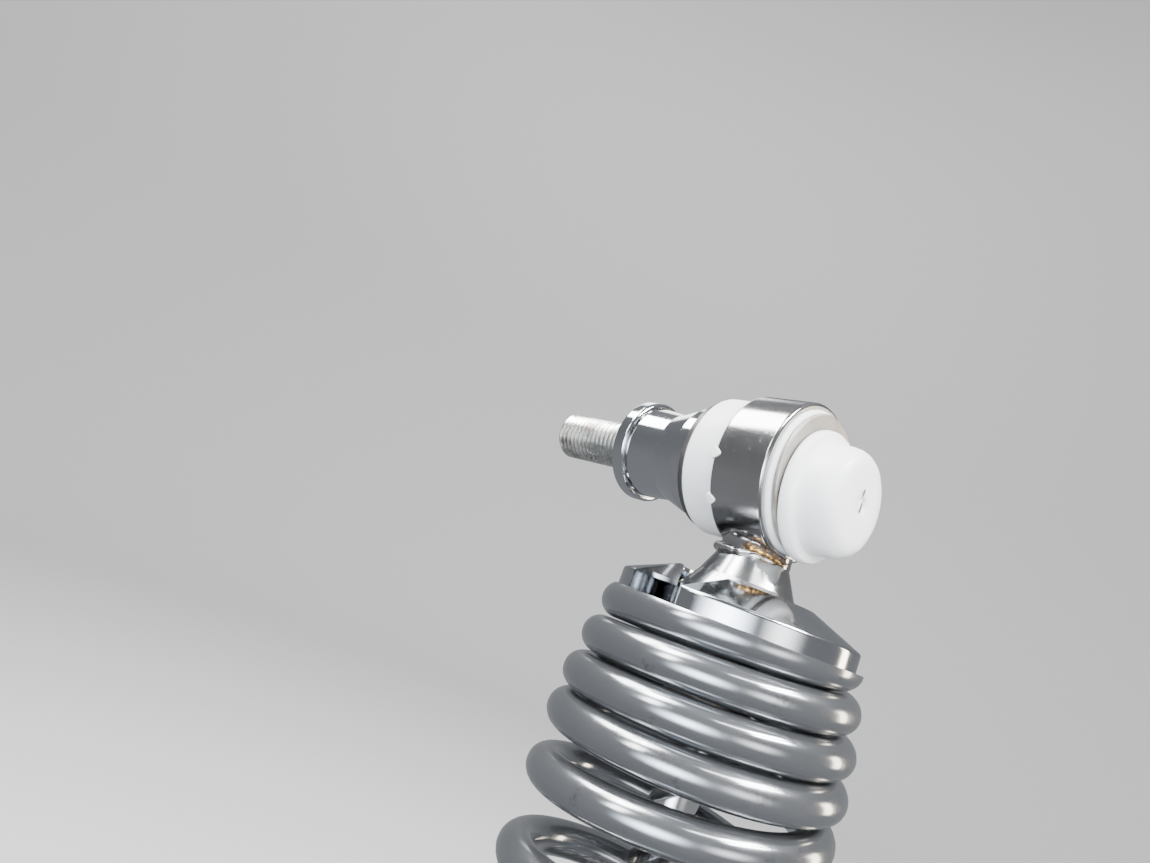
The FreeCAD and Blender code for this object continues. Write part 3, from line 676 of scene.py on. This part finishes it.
@dataclass
class Seam:
    """A hand-laid seam round a neck: a torus bent to stations, whose section swells and dips."""

    name: str
    stations: list[tuple[float, float, float, float]]
    axis: tuple[float, float]
    lumps: int
    seed: int
    swell: float = 0.3
    pinch: float = 0.45
    blank: float = 0.1
    lump_facets: int = 8
    sides: int = 14

    def model(self) -> Piece:
        """Lays the seam. A station is its turn in degrees, its radius, its height and its thickness.

        Returns:
            The piece, its object at the origin.
        """
        deselect_all()
        bpy.ops.mesh.primitive_torus_add(major_radius=1.0, minor_radius=self.blank,
                                         major_segments=self.lumps * self.lump_facets,
                                         minor_segments=self.sides)
        piece = bpy.context.object
        chance = random.Random(self.seed)
        sizes = [1 + self.swell * (chance.random() - 0.5) for _ in range(self.lumps)]
        for vertex in piece.data.vertices:
            turn = math.atan2(vertex.co.y, vertex.co.x) / (2 * math.pi) % 1.0
            lump = turn * self.lumps
            index = int(lump) % self.lumps
            share = lump - int(lump)
            size = sizes[index] * (1 - share) + sizes[(index + 1) % self.lumps] * share
            size *= 1 - self.pinch * self.swell * abs(2 * share - 1) ** 3
            radius, height, thickness = self._at(turn * 360)
            reach = thickness * size / self.blank
            flat = vertex.co.xy.normalized() * (radius + (vertex.co.xy.length - 1.0) * reach)
            vertex.co = Vector((*flat, height + vertex.co.z * reach)) * MM
        return settle(piece, self.name, moved((*self.axis, 0)))

    def _at(self, turn: float) -> tuple[float, float, float]:
        """Radius, height and thickness at a turn, eased between the stations."""
        stations = sorted(self.stations)
        after = next((i for i, station in enumerate(stations) if station[0] > turn), 0)
        low, high = stations[after - 1], stations[after]
        span = (high[0] - low[0]) % 360 or 360
        share = ((turn - low[0]) % 360) / span
        share = share * share * (3 - 2 * share)
        return tuple(low[i] * (1 - share) + high[i] * share for i in (1, 2, 3))


# Sub-assemblies


@dataclass
class SubAssembly:
    """Some of the shock's pieces, each with its finish and its body. The shock's axis is at eye_y."""

    eye_y: float = -39.75

    def rows(self) -> list[tuple[Piece, Finish, str]]:
        """Models the pieces.

        Returns:
            Each piece with its finish and the body that it rides on.
        """
        raise NotImplementedError

    def build(self, paint: Paintbox) -> list[Piece]:
        """Models, dresses and hangs the pieces.

        Args:
            paint: where the finishes come from.

        Returns:
            The pieces.
        """
        rows = self.rows()
        for piece, finish, body in rows:
            paint.apply(piece, finish)
            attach(piece, body)
        return [piece for piece, _, _ in rows]


@dataclass
class UpperMounting(SubAssembly):
    """The stud with its threads, and the cap over its nut."""

    stud_radius: float = 6.0
    stud_thread_depth: float = 0.88
    stud_pitch: float = 1.5
    stud_inboard: float = 28.0
    lead: float = 1.6
    undercut: float = 1.2
    shank_radius: float = 6.6
    nut_start: float = 48.2
    nut_thread_radius: float = 5.0
    nut_thread_depth: float = 0.73
    nut_pitch: float = 1.25
    stud_end: float = 55.8
    core_gap: float = 0.02
    chamfer: float = 0.6
    cap_start: float = 48.4
    cap_drop: float = 2.3
    cap_profile: list[tuple[float, float]] = field(default_factory=lambda: [
        (0.0, 9.2), (7.6, 9.1), (9.6, 8.3), (10.5, 6.6), (10.6, 0.05), (13.65, 0.0), (13.98, 0.3),
        (14.08, 0.85), (13.95, 1.9), (13.6, 2.38), (12.95, 2.58), (12.15, 2.7), (11.8, 2.95), (11.68, 3.4),
        (11.62, 5.0), (11.5, 6.6), (11.2, 7.9), (10.75, 8.85), (10.05, 9.6), (9.1, 10.12), (8.0, 10.42),
        (6.6, 10.56), (4.0, 10.6), (2.1, 10.58), (1.75, 10.4), (1.55, 10.15), (1.2, 10.05), (0.35, 10.08),
        (0.0, 10.08),
    ])

    def rows(self) -> list[tuple[Piece, Finish, str]]:
        """The stud and the hollow cap with its moulding dimple, in place of their nodes.

        Returns:
            Each piece with its finish and body.
        """
        stud = self._stud()
        cap = Turning("white_nut_cap", self.cap_profile, along=Along.OUTBOARD,
                      at=(0, -self.cap_start, -self.cap_drop), segments=128).model()
        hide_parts("upper_stud")
        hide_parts("nut_cap")
        return [(stud, ZINC, "mounting"), (cap, CAP_WHITE, "mounting")]

    def _stud(self) -> Piece:
        """The stud: its core and shank, with a thread round each end.

        Returns:
            The stud, its object at the origin.
        """
        start = -self.stud_inboard
        root = self.stud_radius - self.stud_thread_depth - self.core_gap
        tip = self.nut_thread_radius - self.nut_thread_depth - self.core_gap
        shank = self.shank_radius
        ends = Turning("stud_shank", [
            (0.0, start), (root - self.chamfer, start), (root, start + self.chamfer),
            (root, start + self.lead), (root, -self.undercut), (root, -0.4), (shank - 0.2, -0.02),
            (shank, 0.15), (shank, self.nut_start - 0.15), (shank - 0.2, self.nut_start),
            (tip, self.nut_start + 0.2), (tip, self.stud_end - self.chamfer),
            (tip - self.chamfer, self.stud_end), (0.0, self.stud_end),
        ], along=Along.OUTBOARD, segments=72).model()
        inboard = Thread("stud_thread_inboard", self.stud_radius, self.stud_thread_depth, self.stud_pitch,
                         start + self.lead, -self.undercut, along=Along.OUTBOARD).model()
        outboard = Thread("stud_thread_outboard", self.nut_thread_radius, self.nut_thread_depth,
                          self.nut_pitch, self.nut_start + 0.3, self.stud_end - 0.5,
                          along=Along.OUTBOARD).model()
        deselect_all()
        for piece in (inboard, outboard, ends):
            piece.select_set(True)
        bpy.context.view_layer.objects.active = ends
        bpy.ops.object.join()
        ends.name = "mounting_stud"
        return ends


@dataclass
class FlashTabs(SubAssembly):
    """Two tabs of moulding flash that the inboard bush of the upper eye squeezes out over its rim."""

    rim: float = 6.25
    bush_radius: float = 15.6
    eye_radius: float = 17.3
    turns: tuple[float, ...] = (184.0, 217.0)
    past_eye: float = 0.28
    thickness: float = 0.3
    width: float = 2.6
    points: tuple[tuple[float, float], ...] = ((0.7, 0.8), (0.5, 0.55), (0.35, 0.4))

    def rows(self) -> list[tuple[Piece, Finish, str]]:
        """The tabs, each at its turn. A point is a reach and how much the tab narrows there.

        Returns:
            Each tab with its finish and body.
        """
        tabs = [self._tab("bush_flash_%d" % number, turn) for number, turn in enumerate(self.turns, start=1)]
        return [(tab, BUSH_WHITE, "rod_side") for tab in tabs]

    def _tab(self, name: str, turn: float) -> Piece:
        """One tab: a slip up the face of the eye that is pulled over its edge to a ragged point.

        Args:
            name: the tab's name.
            turn: where it is round the eye, in degrees from +X towards +Z.

        Returns:
            The tab, its object at the origin.
        """
        deselect_all()
        top = self.eye_radius + self.past_eye
        bpy.ops.mesh.primitive_cube_add(size=MM)
        tab = bpy.context.object
        tab.scale = (top - self.bush_radius, self.thickness, self.width)
        tab.location = ((top + self.bush_radius) / 2 * MM, (self.rim + 0.6 * self.thickness) * MM, 0)
        bpy.ops.object.transform_apply(location=True, rotation=True, scale=True)
        edit()
        bpy.ops.mesh.select_mode(type="FACE")
        bpy.ops.mesh.subdivide(number_cuts=3)
        bpy.ops.mesh.select_all(action="DESELECT")
        bpy.ops.object.mode_set(mode="OBJECT")
        for face in tab.data.polygons:
            face.select = face.normal.y < -0.9 and face.center.x > self.eye_radius * MM
        bpy.ops.object.mode_set(mode="EDIT")
        for reach, narrow in self.points:
            extrude(0, -reach, 0)
            bpy.ops.transform.resize(value=(1, 1, narrow))
        bpy.ops.object.mode_set(mode="OBJECT")
        modify(tab, "SUBSURF", levels=2, render_levels=2)
        return settle(tab, name, moved((0, self.eye_y, 0)) @ Matrix.Rotation(-math.radians(turn), 4, "Y"))


@dataclass
class Necks(SubAssembly):
    """The fillets and the welded seams where each neck meets its eye."""

    eye_to_eye: float = 317.5
    eye_radius: float = 17.3
    half_width: float = 6.1
    neck_radius: float = 7.6
    saddle_radius: float = 9.0
    fillet_radius: float = 3.0
    fillet_steps: int = 10
    fillet_gap: float = 0.04
    sunk_in_eye: float = 3.0
    sunk_in_neck: float = 1.5

    def rows(self) -> list[tuple[Piece, Finish, str]]:
        """The fillets, and the seams with their braze and flux.

        Returns:
            Each piece with its finish and body.
        """
        upper = self._fillet("upper_fillet", self.neck_radius, 0.0, -1.0)
        lower = self._fillet("lower_fillet", self.saddle_radius, -self.eye_to_eye, 1.0)
        seam = Seam("upper_seam", [
            (0, 7.6, -18.2, 0.5), (60, 7.7, -18.4, 0.7), (110, 7.9, -18.5, 0.9), (140, 8.1, -18.4, 1.1),
            (160, 8.1, -18.6, 0.95), (185, 7.95, -18.6, 0.75), (200, 7.75, -18.1, 0.55),
            (212, 7.5, -17.8, 0.35), (260, 7.45, -17.8, 0.28), (300, 7.45, -18.0, 0.3),
        ], (0, self.eye_y), 18, 3).model()
        braze = Seam("upper_braze", [
            (0, 6.9, -17.6, 0.3), (150, 6.9, -17.8, 0.3), (190, 7.2, -17.3, 0.4), (204, 7.8, -17.2, 0.9),
            (225, 7.9, -17.3, 0.95), (243, 7.8, -17.8, 0.8), (258, 7.3, -18.1, 0.4), (300, 6.9, -17.8, 0.3),
        ], (0, self.eye_y), 24, 8, swell=0.6).model()
        flux = Seam("upper_flux", [
            (0, 6.9, -17.2, 0.3), (180, 7.0, -17.0, 0.3), (198, 7.6, -16.6, 0.7), (225, 7.8, -16.7, 1.0),
            (250, 7.7, -17.2, 0.9), (272, 7.3, -17.6, 0.5), (300, 6.9, -17.4, 0.3),
        ], (0, self.eye_y), 34, 11, swell=0.5).model()
        weld = Seam("lower_weld", [
            (0, 9.1, 18.7 - self.eye_to_eye, 1.0), (120, 9.2, 18.5 - self.eye_to_eye, 1.15),
            (240, 9.1, 18.8 - self.eye_to_eye, 1.0),
        ], (0, self.eye_y), 22, 5).model()
        return [
            (upper, EYE_CHROME, "rod_side"), (lower, TUBE_BLACK, "tube_side"),
            (seam, WELD, "rod_side"), (braze, BRAZE, "rod_side"), (flux, BURNT_FLUX, "rod_side"),
            (weld, TUBE_BLACK, "tube_side"),
        ]

    def _fillet(self, name: str, neck: float, height: float, side: float) -> Piece:
        """A concave fillet from a neck up into its eye, cut flat at the eye's two faces.

        Args:
            name: the piece's name.
            neck: the neck's radius.
            height: the eye's height.
            side: -1 where the neck hangs below its eye, 1 where it stands above it.

        Returns:
            The piece, its object at the origin.
        """
        centre = neck + self.fillet_gap + self.fillet_radius
        drop = math.sqrt((self.eye_radius + self.fillet_radius) ** 2 - centre ** 2)
        last = math.degrees(math.atan2(drop, -centre))
        arc = []
        for step in range(self.fillet_steps + 1):
            turn = math.radians(180 + (last - 180) * step / self.fillet_steps)
            arc.append((centre + self.fillet_radius * math.cos(turn),
                        side * (drop - self.fillet_radius * math.sin(turn))))
        inside = self.eye_radius - self.sunk_in_eye
        inner = neck - self.sunk_in_neck
        profile = [(inner, side * inside), (inner, side * drop)] + arc + [(arc[-1][0] - 0.5, side * inside)]
        fillet = Turning(name, profile, at=(0, self.eye_y, height)).model()
        trim((0, 1, 0), (self.eye_y + self.half_width, True), (self.eye_y - self.half_width, False))
        return settle(fillet, name)


@dataclass
class WoundSpring(SubAssembly):
    """The coil spring: a screwed tube laid along its turns, ground flat at both ends.

    A knot of top_coils is a number of turns from the upper tip and the depth there, in wire
    diameters; foot_coils says the same from the lower tip.
    """

    keeper_seat: float = -33.3
    turns: float = 15.9
    length: float = 212.6
    stroke: float = 60.0
    wire_radius: float = 3.9
    top_radius: float = 22.7
    coil_radius: float = 27.0
    taper_turns: float = 3.8
    tip_turn: float = 8.0
    top_coils: list[tuple[float, float]] = field(default_factory=lambda: [
        (0.0, -0.2), (0.2, 0.0), (0.4, 0.195), (0.65, 0.41), (0.9, 0.67), (1.2, 1.015), (1.65, 1.436),
        (2.15, 1.975), (2.65, 2.487), (3.15, 3.0), (3.65, 3.526), (4.15, 4.077), (4.65, 5.038),
        (5.15, 6.09), (5.65, 7.15),
    ])
    foot_coils: list[tuple[float, float]] = field(default_factory=lambda: [
        (0.0, 0.0), (0.15, 0.2), (0.65, 0.44), (1.15, 1.44),
    ])
    wire_sides: int = 28
    steps_per_turn: int = 60
    blank: float = 0.1
    tangent_step: float = 0.002

    def rows(self) -> list[tuple[Piece, Finish, str]]:
        """The spring, in place of its node.

        Returns:
            The spring with its finish and body, alone in its list.
        """
        spring = self._wind()
        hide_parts("coil_spring")
        return [(spring, SPRING_GREY, "rod_side")]

    def build(self, paint: Paintbox) -> list[Piece]:
        """Winds, dresses and hangs the spring, and gives it a mesh of its own.

        Args:
            paint: where the finishes come from.

        Returns:
            The spring, alone in its list.
        """
        pieces = super().build(paint)
        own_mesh(pieces[0])
        return pieces

    def _knots(self) -> list[tuple[float, float]]:
        """Turns and depths in millimetres, from the upper tip to the lower."""
        wire = 2 * self.wire_radius
        knots = [(turn, drop * wire) for turn, drop in self.top_coils]
        foot = [(self.turns - turn, self.length - rise * wire) for turn, rise in reversed(self.foot_coils)]
        return knots + foot

    def _depth(self, turn: float) -> float:
        """The depth of the wire's middle at a turn, on a curve that never overshoots its knots."""
        knots = self._knots()
        steps = [(b[1] - a[1]) / (b[0] - a[0]) for a, b in zip(knots, knots[1:])]
        slopes = [steps[0]] + [2 * a * b / (a + b) for a, b in zip(steps, steps[1:])] + [steps[-1]]
        index = max([k for k in range(len(steps)) if turn >= knots[k][0]], default=0)
        width = knots[index + 1][0] - knots[index][0]
        share = (turn - knots[index][0]) / width
        low, high = knots[index][1], knots[index + 1][1]
        bend = share * (1 - share) * width * (slopes[index] * (1 - share) - slopes[index + 1] * share)
        return low + (high - low) * share * share * (3 - 2 * share) + bend

    def _middle(self, turn: float) -> Vector:
        """The middle of the wire at a turn, in millimetres."""
        turn = min(max(turn, 0.0), self.turns)
        widening = math.sin(min(1.0, turn / self.taper_turns) * math.pi / 2)
        radius = self.top_radius + (self.coil_radius - self.top_radius) * widening
        angle = math.radians(self.tip_turn - 360 * turn)
        return Vector((radius * math.cos(angle), radius * math.sin(angle), -self._depth(turn)))

    def _wind(self) -> Piece:
        """Screws a small circle into a tube, lays it along the wire's middle and grinds its ends.

        Returns:
            The spring, its object at the origin.
        """
        spring = circle(self.wire_sides, self.blank, (1.0, 0, 0), math.pi / 2)
        steps = round(self.steps_per_turn * self.turns)
        modify(spring, "SCREW", axis="Z", angle=-2 * math.pi * self.turns, screw_offset=-self.turns,
               steps=steps, render_steps=steps, iterations=1)
        for vertex in spring.data.vertices:
            vertex.co = self._laid(vertex.co.copy()) * MM
        edit()
        bpy.ops.mesh.remove_doubles(threshold=WELD_GAP / 10)
        bpy.ops.mesh.select_all(action="DESELECT")
        bpy.ops.mesh.select_mode(type="EDGE")
        bpy.ops.mesh.select_non_manifold()
        bpy.ops.mesh.edge_face_add()
        bpy.ops.mesh.select_all(action="SELECT")
        bpy.ops.mesh.normals_make_consistent(inside=False)
        trim((0, 0, 1), (0.0, True), (-self.length, False))
        return settle(spring, "wound_spring", moved((0, self.eye_y, self.keeper_seat)))

    def _laid(self, screwed: Vector) -> Vector:
        """Where a point of the plain screwed tube lies on the spring.

        Args:
            screwed: the point, on a thin tube that drops 1 a turn at radius 1.

        Returns:
            The point on the spring, in millimetres.
        """
        part = -math.atan2(screwed.y, screwed.x) / (2 * math.pi) % 1.0
        turn = round(-screwed.z - part) + part
        outward = (screwed.xy.length - 1.0) / self.blank
        upward = (screwed.z + turn) / self.blank
        middle = self._middle(turn)
        ahead = self._middle(turn + self.tangent_step)
        along = (ahead - self._middle(turn - self.tangent_step)).normalized()
        aside = Vector((middle.x, middle.y, 0)).normalized()
        aside = (aside - along * aside.dot(along)).normalized()
        above = aside.cross(along)
        if above.z < 0:
            above.negate()
        return middle + (aside * outward + above * upward) * self.wire_radius


@dataclass
class GlandDress(SubAssembly):
    """The wiper lip round the rod and the retaining ring in the tube's mouth."""

    gland_top: float = -121.5

    def rows(self) -> list[tuple[Piece, Finish, str]]:
        """The wiper and the ring.

        Returns:
            Each piece with its finish and body.
        """
        place = (0, self.eye_y, self.gland_top)
        lip = Turning("rod_wiper", [
            (5.35, 0.0), (8.2, 0.0), (8.35, 0.5), (7.9, 1.0), (6.6, 1.3), (5.9, 2.4), (5.45, 2.6),
            (5.3, 2.2),
        ], at=place, segments=72).model()
        ring = Turning("gland_ring", [
            (12.4, 0.0), (14.6, 0.0), (14.8, 0.35), (14.6, 0.7), (12.4, 0.7), (12.2, 0.35),
        ], at=place, segments=72).model()
        return [(lip, STOP_RUBBER, "tube_side"), (ring, ZINC, "tube_side")]


class CadDress:
    """The finishes of the CAD nodes."""

    def build(self, frame: dict, paint: Paintbox) -> list[Piece]:
        """Dresses the nodes.

        Args:
            paint: where the finishes come from.

        Returns:
            The nodes.
        """
        finishes = {name: finish for finish, names in NODE_FINISHES.items() for name in names}
        for name, node in frame["nodes"].items():
            paint.apply(node, finishes[name])
        return list(frame["nodes"].values())


# Studio


@dataclass(frozen=True)
class Softbox:
    """A rectangular light aimed at the shock, brightest in its middle as a cloth front is."""

    name: str
    place: Point
    target: Point
    width: float
    height: float
    power: float
    tint: tuple[float, float, float] = (1.0, 1.0, 1.0)
    edge: float = 0.5
    mirrored: bool = True
    spread: float = 180.0

    def hang(self) -> None:
        """Adds the light. One that isn't mirrored lights the shock but doesn't show in its gloss."""
        data = bpy.data.lights.new(self.name, "AREA")
        data.shape = "RECTANGLE"
        data.size = self.width
        data.size_y = self.height
        data.energy = self.power
        data.color = self.tint
        data.spread = math.radians(self.spread)
        self._soften(data)
        lamp = bpy.data.objects.new(self.name, data)
        lamp.visible_glossy = self.mirrored
        bpy.context.scene.collection.objects.link(lamp)
        lamp.location = self.place
        lamp.rotation_euler = (Vector(self.target) - Vector(self.place)).to_track_quat("-Z", "Y").to_euler()

    def _soften(self, data: bpy.types.AreaLight) -> None:
        """Lets the light fall off towards its four edges.

        Args:
            data: the light.
        """
        data.use_nodes = True
        tree = data.node_tree
        surface = tree.nodes.new("ShaderNodeNewGeometry")
        apart = tree.nodes.new("ShaderNodeSeparateXYZ")
        tree.links.new(surface.outputs["Parametric"], apart.inputs[0])
        shares = []
        for axis in ("X", "Y"):
            aside = calculate(tree, "ABSOLUTE", calculate(tree, "SUBTRACT", apart.outputs[axis], 0.5))
            shares.append(smooth_step(tree, aside, 0.5, 0.5 - self.edge / 2))
        tree.links.new(calculate(tree, "MULTIPLY", *shares), tree.nodes["Emission"].inputs["Strength"])


@dataclass
class Studio:
    """The pale floor and backdrop, the lights and the camera."""

    floor: float = -0.42
    reach: float = 3.0
    height: float = 6.0
    bend: float = 1.2
    bend_steps: int = 12
    sweep_level: float = 0.52
    sweep_glow: float = 0.27
    warmth: float = 0.005
    room: tuple[tuple[float, float], ...] = (
        (0.0, 0.34), (0.36, 0.32), (0.46, 0.29), (0.58, 0.26), (0.78, 0.25), (1.0, 0.5))
    camera_place: Point = (-0.1421, -0.12615, -0.0325)
    camera_right: Point = (0.6456, -0.6766, 0.3542)
    camera_up: Point = (-0.3647, 0.1344, 0.9214)
    focal_pixels: float = 750.0
    image_width: float = 1150.0
    sensor: float = 36.0
    softboxes: list[Softbox] = field(default_factory=lambda: [
        Softbox("ceiling", (-0.46, 0.2, 0.74), (0, -0.04, -0.08), 0.42, 0.55, 38.0, edge=0.9),
        Softbox("key", (-0.8, 0.1, 0.38), (0, -0.04, -0.1), 0.3, 0.5, 10.0, edge=0.8),
        Softbox("window", (-1.1, -0.5, -0.12), (0, -0.04, -0.12), 1.5, 1.1, 34.0, (0.84, 0.92, 1.0),
                edge=1.0, spread=110),
        Softbox("overhead", (-0.24, 0.44, 0.66), (0, -0.04, 0), 0.4, 0.36, 12.0, edge=0.2),
        Softbox("front_fill", (-0.55, -0.95, 0.3), (0, -0.04, -0.05), 0.8, 0.8, 34.0, mirrored=False),
        Softbox("front_glow", (-0.3, -1.1, 0.0), (0, -0.04, -0.1), 1.0, 0.8, 5.0, edge=1.0, spread=110),
        Softbox("tube_low", (0.09, -0.8, 0.78), (0, -0.04, -0.08), 0.6, 0.045, 20.0, edge=0.3),
        Softbox("tube_high", (0.09, -0.66, 0.88), (0, -0.04, -0.08), 0.6, 0.045, 20.0, edge=0.3),
        Softbox("tube_top", (-0.42, -0.75, 1.15), (0, -0.04, 0), 0.6, 0.08, 5.0),
        Softbox("warm_edge", (0.72, -0.5, 0.05), (0, -0.04, -0.1), 0.2, 0.5, 5.0, (1.0, 0.87, 0.7)),
        Softbox("back", (0.55, 0.75, 0.6), (0, -0.04, -0.1), 0.6, 0.6, 7.0, edge=0.8),
        Softbox("wall_wash", (0.6, 0.6, 2.4), (2.2, 2.2, 0.6), 2.4, 0.8, 80.0, mirrored=False),
    ])

    def build(self) -> None:
        """Sets the whole studio."""
        self._sweep()
        for softbox in self.softboxes:
            softbox.hang()
        self._world()
        self._camera()

    def _sweep(self) -> None:
        """A round floor that bends up into a wall on every side, plain, pale and out of the gloss."""
        sweep = circle(128, self.reach, (0, 0, self.floor + self.height))
        edit()
        rings = [(self.reach, self.floor + self.height)]
        for step in range(self.bend_steps + 1):
            turn = math.pi / 2 * step / self.bend_steps
            rings.append((self.reach - self.bend * (1 - math.cos(turn)),
                          self.floor + self.bend * (1 - math.sin(turn))))
        for (r0, h0), (r1, h1) in zip(rings, rings[1:]):
            bpy.ops.mesh.extrude_region_move(TRANSFORM_OT_translate={"value": (0, 0, h1 - h0)})
            bpy.ops.transform.resize(value=(r1 / r0, r1 / r0, 1), center_override=(0, 0, h1))
        bpy.ops.mesh.edge_face_add()
        settle(sweep, "pale_sweep")
        sweep.visible_glossy = False
        sweep.visible_diffuse = False
        material = bpy.data.materials.new("pale sweep")
        material.use_nodes = True
        shader = material.node_tree.nodes["Principled BSDF"]
        shader.inputs["Base Color"].default_value = grey(self.sweep_level, self.warmth)
        shader.inputs["Roughness"].default_value = 0.85
        shader.inputs["Emission Color"].default_value = grey(1.0, self.warmth)
        shader.inputs["Emission Strength"].default_value = self.sweep_glow
        sweep.data.materials.append(material)

    def _world(self) -> None:
        """The soft grey room that the chrome mirrors: pale floor, dim walls, brighter ceiling."""
        world = bpy.data.worlds.new("studio")
        bpy.context.scene.world = world
        world.use_nodes = True
        tree = world.node_tree
        direction = tree.nodes.new("ShaderNodeTexCoord")
        apart = tree.nodes.new("ShaderNodeSeparateXYZ")
        tree.links.new(direction.outputs["Generated"], apart.inputs[0])
        height = tree.nodes.new("ShaderNodeMapRange")
        height.inputs["From Min"].default_value = -1.0
        tree.links.new(apart.outputs["Z"], height.inputs["Value"])
        ramp = tree.nodes.new("ShaderNodeValToRGB")
        ramp.color_ramp.interpolation = "B_SPLINE"
        while len(ramp.color_ramp.elements) < len(self.room):
            ramp.color_ramp.elements.new(0.5)
        for element, (place, level) in zip(ramp.color_ramp.elements, self.room):
            element.position = place
            element.color = colour(level * 0.97, level, level * 1.05)
        tree.links.new(height.outputs["Result"], ramp.inputs["Fac"])
        tree.links.new(ramp.outputs["Color"], tree.nodes["Background"].inputs["Color"])

    def _camera(self) -> None:
        """The photograph's camera, close and below the eye, looking inboard and forward."""
        data = bpy.data.cameras.new("camera")
        data.sensor_fit = "HORIZONTAL"
        data.sensor_width = self.sensor
        data.lens = self.focal_pixels / self.image_width * self.sensor
        data.clip_start = 0.005
        camera = bpy.data.objects.new("camera", data)
        bpy.context.scene.collection.objects.link(camera)
        right = Vector(self.camera_right).normalized()
        back = right.cross(Vector(self.camera_up)).normalized()
        up = back.cross(right)
        turn = Matrix((right, up, back)).transposed().to_4x4()
        camera.matrix_world = Matrix.Translation(Vector(self.camera_place)) @ turn
        bpy.context.scene.camera = camera


def main() -> None:
    """Loads the frame, dresses it and sets the studio."""
    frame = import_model()
    deselect_all()
    paint = Paintbox()
    for node in CadDress().build(frame, paint):
        LOG.info("dressed %s", node.name)
    for maker in (UpperMounting(), FlashTabs(), Necks(), WoundSpring(), GlandDress()):
        for piece in maker.build(paint):
            LOG.info("made %s: %d faces", piece.name, len(piece.data.polygons))
    Studio().build()


if __name__ == "__main__":
    main()
